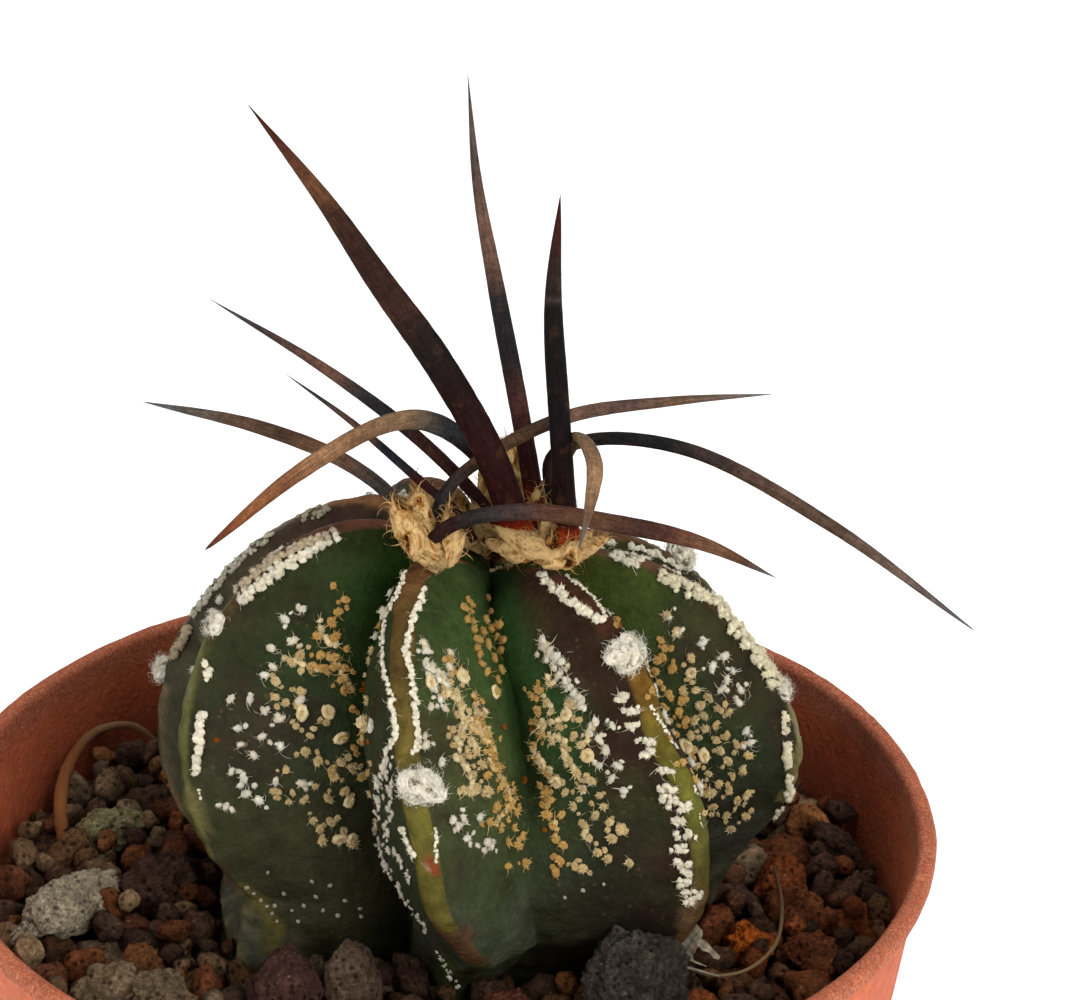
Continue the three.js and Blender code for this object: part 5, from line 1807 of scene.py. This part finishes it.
# Matted wool, as lumps that run from a tip to a base: both places, both radii and how bright each is
WOOL = {
    "crown_wool": [
        ((2.4, 0.2, 78), (3.2, 1.4, 76.2), 0.6, 1.3, 0.75),
        ((5.9, 0.4, 79.2), (5, 0.8, 76.2), 0.3, 1.1, 1.0),
        ((4.3, -1.3, 77.6), (4.6, -0.6, 76), 0.5, 0.9, 0.75),
        ((4.4, 2.6, 79.4), (4.3, 2.4, 76), 0.45, 1.5, 1.1),
        ((1.1, 1.4, 78.1), (1.8, 1.6, 75.8), 0.5, 1.2, 0.9),
        ((3.2, 2.4, 75.6), (3.4, 2.2, 74.8), 1.1, 1.2, 0.6),
    ],
    "areole_wool_front": [
        ((-2.9, -4.4, 81), (-1.55, -4.8, 78.5), 0.16, 1.2, 1.05),
        ((-2.2, -4.6, 79.5), (-0.7, -5, 77.8), 0.6, 1.1, 0.95),
        ((0.8, -4.2, 79), (0.5, -4.5, 77.7), 0.5, 0.95, 1),
        ((-1.4, -3.1, 80.3), (-1.2, -3.4, 78.2), 0.5, 0.95, 1.15),
        ((0.5, -3.7, 80.1), (0.5, -4, 78.2), 0.14, 0.65, 1.0),
        ((-0.9, -5.5, 77.8), (-0.2, -5.2, 77.3), 0.45, 0.7, 0.6),
    ],
    "areole_wool_front_right": [
        ((3.75, -2.9, 78.35), (6.9, -4.2, 77.1), 0.36, 0.72, 0.85),
        ((3.3, -3.1, 77.5), (5.4, -3.7, 76.8), 0.4, 0.6, 0.7),
        ((10.3, -3.2, 78), (7.3, -4.2, 77.1), 0.3, 0.78, 1.0),
        ((5, -3.1, 78), (6.7, -3.9, 77.3), 0.5, 0.7, 0.9),
        ((7, -3.5, 78.6), (7, -3.7, 77.3), 0.4, 0.9, 0.95),
        ((9.1, -3.4, 78.2), (8.6, -3.7, 77.4), 0.4, 0.7, 1.0),
        ((8.3, -4.6, 77.9), (8, -4.4, 77.2), 0.5, 0.6, 0.95),
        ((6.75, -2.6, 79.6), (6.7, -2.9, 77.6), 0.2, 0.6, 0.9),
    ],
    "areole_wool_left": [
        ((-1.6, 2.8, 78.2), (-1.3, 2.9, 76.2), 0.4, 1.0, 1.0),
        ((-0.7, 2.3, 77.8), (-0.6, 2.6, 76.1), 0.35, 0.9, 1.1),
    ],
    "areole_wool_back": [
        ((4.5, 6.1, 80.3), (4.1, 6.0, 76.5), 0.45, 1.6, 1.15),
        ((3.4, 6.3, 79.5), (3.5, 6.0, 76.3), 0.4, 1.5, 1.05),
    ],
}
WOOL_TAN = linear((168, 114, 52))
WOOL_PALE = linear((226, 188, 128))
# Tones of wool from dark to pale: partly the wool's own browns and partly painted light, the darkest as
# shade in pits and creases, the palest as highlight on the ridges
WOOL_TONES = (linear((66, 30, 8)), WOOL_TAN, WOOL_PALE)
SMOOTHER_WOOL = ("crown_wool", "areole_wool_left", "areole_wool_back")
# Tones of the rib tufts in the same way: the darkest painted as shade in the gaps and pits, the palest
# partly painted highlight
TUFT_TONES = (linear((110, 94, 66)), linear((214, 204, 178)), linear((242, 235, 216)))


def ridges(points, scale, seed):
    return 1 - 2 * np.abs(noise_at(points, scale, seed))


def matted_lump(name, tip, base, tip_radius, base_radius, bright, seed, tones=WOOL_TONES, pitted=1.0,
                fine=1.0, detail=6):
    """A lump of matted wool whose fibres run from its tip to its base, with folds, and pits that are painted
    dark as shade.
    """
    piece = lump(name, detail, (1, 1, 1), 0.0, seed)
    ball = corners_of(piece) / MM
    tip = np.array(tip)
    base = np.array(base)
    axis = (base - tip) / np.linalg.norm(base - tip)
    side = np.cross(axis, [0.3, 1, 0.2])
    side /= np.linalg.norm(side)
    other = np.cross(axis, side)
    share = (ball[:, 2] + 1) / 2
    radius = tip_radius + (base_radius - tip_radius) * share
    out = np.outer(ball[:, 0], side) + np.outer(ball[:, 1], other)
    points = tip + np.outer(share, base - tip) + out * radius[:, None] + np.outer(ball[:, 2] * radius, axis)
    away = out + np.outer(ball[:, 2], axis)
    warp = np.stack([noise_at(points, 0.9 * fine, seed + k) for k in range(3)], -1)
    drawn = points + 0.55 / fine ** 0.5 * warp
    drawn = drawn - np.outer(drawn @ axis, axis) * 0.72
    folds = ridges(drawn, 0.85 * fine, seed + 4)
    creases = ridges(drawn, 2.1 * fine, seed + 5)
    fibres = ridges(drawn, 5.5, seed + 6)
    pits = pitted * soft_step(0.08, 0.46, noise_at(drawn, 1.1 * fine, seed + 7))
    height = 0.2 * folds + 0.15 * creases + 0.07 * fibres - 0.42 * pits
    points = points + away * (height * np.minimum(radius, 1.1))[:, None]
    place_corners(piece, points * MM)
    # The tone is partly painted light: dark as shade in the pits and creases, pale as highlight on folds and
    # fibres, and darker towards the base
    tone = np.clip(0.34 + 0.32 * folds + 0.4 * creases + 0.42 * fibres - 1.0 * pits - 0.16 * share, 0, 1)
    shades = mix(np.broadcast_to(tones[0], points.shape), tones[1], soft_step(0.05, 0.46, tone))
    shades = mix(shades, tones[2], soft_step(0.46, 1.0, tone)) * bright
    paint(piece, shades)
    return piece, points, away, axis


def make_wool():
    for number, (name, lumps) in enumerate(WOOL.items()):
        draw = random.Random(970 + number)
        parts = []
        for k, values in enumerate(lumps):
            piece, points, away, axis = matted_lump(f"{name}_{k}", *values, seed=970 + number * 11 + k,
                                                    detail=5 if name in SMOOTHER_WOOL else 6)
            parts.append(piece)
            for i in draw.sample(range(len(points)), int(34 + 46 * values[3])):
                lean = Vector(-axis) * draw.uniform(0.5, 1.5) + Vector(away[i]) * draw.uniform(0.1, 0.7)
                lean = lean + drift(draw, 0.5)
                root = Vector(points[i] - away[i] * 0.08) * MM
                matrix = hair_matrix(root, (0.4, 1.1), lean, (0.8, 1.8), draw)
                shade = mix(WOOL_TAN, WOOL_PALE, draw.uniform(0.1, 1.0)) * values[4]
                parts.append(copy_of(HAIRS[draw.randrange(0, 4)], matrix, shade))
        finish(join(name + "_wool", parts), "wool", WOOL_TUFT, name)


make_rib_tufts()
make_wool()
remove(SCALES + PADS + DOTS + CLUMPS + CUPS + HAIRS)


# Dry roots and the papery husk on the gravel

FIBRES = {
    "root_fibre_left": dict(
        path=[(-24.6, 3, 48.6), (-25.8, 8.5, 50.4), (-25.7, 13.6, 51), (-24.2, 17.9, 51.2),
              (-21.9, 19.5, 50.8), (-20, 19.6, 49.4)],
        breadth=0.95, thickness=0.8, belly=0.3, taper=2.6, root=0.8,
        colours={0: (110, 64, 32), 0.3: (156, 98, 56), 0.6: (142, 88, 52), 0.8: (160, 122, 90),
                 1: (130, 92, 64)}),
    "root_fibre_right": dict(
        path=[(22.2, 1.6, 51.4), (22.5, -3.6, 51.4), (21.8, -8.3, 51.4), (19.8, -11.2, 51.4),
              (17.7, -11.8, 51.4), (15.4, -10.6, 51.4)],
        breadth=0.28, thickness=0.28, belly=0.4, taper=2.3, root=0.8,
        colours={0: (96, 70, 46), 0.4: (132, 104, 70), 0.8: (150, 124, 88), 1: (160, 136, 100)}),
}
HUSK_FLAKES = [
    ([(14.9, -10.4, 51.4), (15.8, -9.7, 52.4), (16.9, -9.2, 53.4)], 2.4, 0.5, 0.15),
    ([(15.6, -9.4, 51.6), (16.9, -9.5, 52.6), (18.3, -10, 51.6)], 1.4, 0.1, 0.3),
    ([(14.2, -10.9, 51.5), (16, -11.6, 51.9), (18.2, -12, 51.5)], 0.36, 0.2, 0.2),
    ([(14.4, -10.2, 51.8), (15.8, -10.9, 52.2), (17.4, -11.2, 51.7)], 0.4, 0.9, 0.3),
    ([(14.9, -9.4, 51.7), (15.6, -8.7, 52.8), (16.4, -8.3, 53.5)], 0.5, 0.3, 0.3),
]


HUSK_SIDES = 24
HUSK_RINGS = 41
HUSK_COLOUR = linear((176, 164, 140))


def make_husk():
    """Thin papery flakes, each a curled strip with a torn edge and a thickness of its own."""
    parts = []
    for number, (path, breadth, tilt, bend) in enumerate(HUSK_FLAKES):
        line, lengths = smooth_path(path)
        rings = []
        shades = []
        turns = turns_of(HUSK_SIDES)
        for share in np.linspace(0, 1, HUSK_RINGS):
            centre = along(line, lengths, share)
            ahead = heading(line, lengths, share, 0.01)
            across = np.cross(ahead, [math.sin(tilt), 0.2, math.cos(tilt)])
            across /= np.linalg.norm(across)
            up = np.cross(across, ahead)
            wide = breadth / 2 * math.sin(math.pi * (0.06 + 0.88 * share)) ** 0.6
            wide *= 1 + 0.3 * noise.noise(Vector((number * 3, share * 7, 1)))
            curl = bend * np.cos(turns) ** 2 * wide
            ring = (centre + across * (np.cos(turns) * wide)[:, None]
                    + up * (np.sin(turns) * 0.04 - curl)[:, None])
            rings.append(ring)
            veins = 1 + 0.3 * np.cos(turns * 9 + number)
            patches = 0.75 + 0.5 * noise.noise(Vector((share * 9, number, 2)))
            shades.append(HUSK_COLOUR * veins[:, None] * patches)
        rings.insert(0, np.broadcast_to(rings[0][:-1].mean(0), rings[0].shape))
        shades.insert(0, shades[0])
        rings.append(np.broadcast_to(rings[-1][:-1].mean(0), rings[-1].shape))
        shades.append(shades[-1])
        shades = np.array(shades)
        shades[:, -1] = shades[:, 0]
        parts.append(rolled_sheet(f"husk_{number}", np.array(rings), np.clip(shades, 0.01, 1)))
    finish(join("husk_dry", parts), "husk", PAPER, "husk")


def make_fibres():
    for number, (name, values) in enumerate(FIBRES.items()):
        piece = horn(name + "_dry", **values, depth=0.8, sides=12, stations=70, rough=0.2, seed=20 + number)
        finish(piece, "root_fibre", FIBRE, name)


make_fibres()
make_husk()
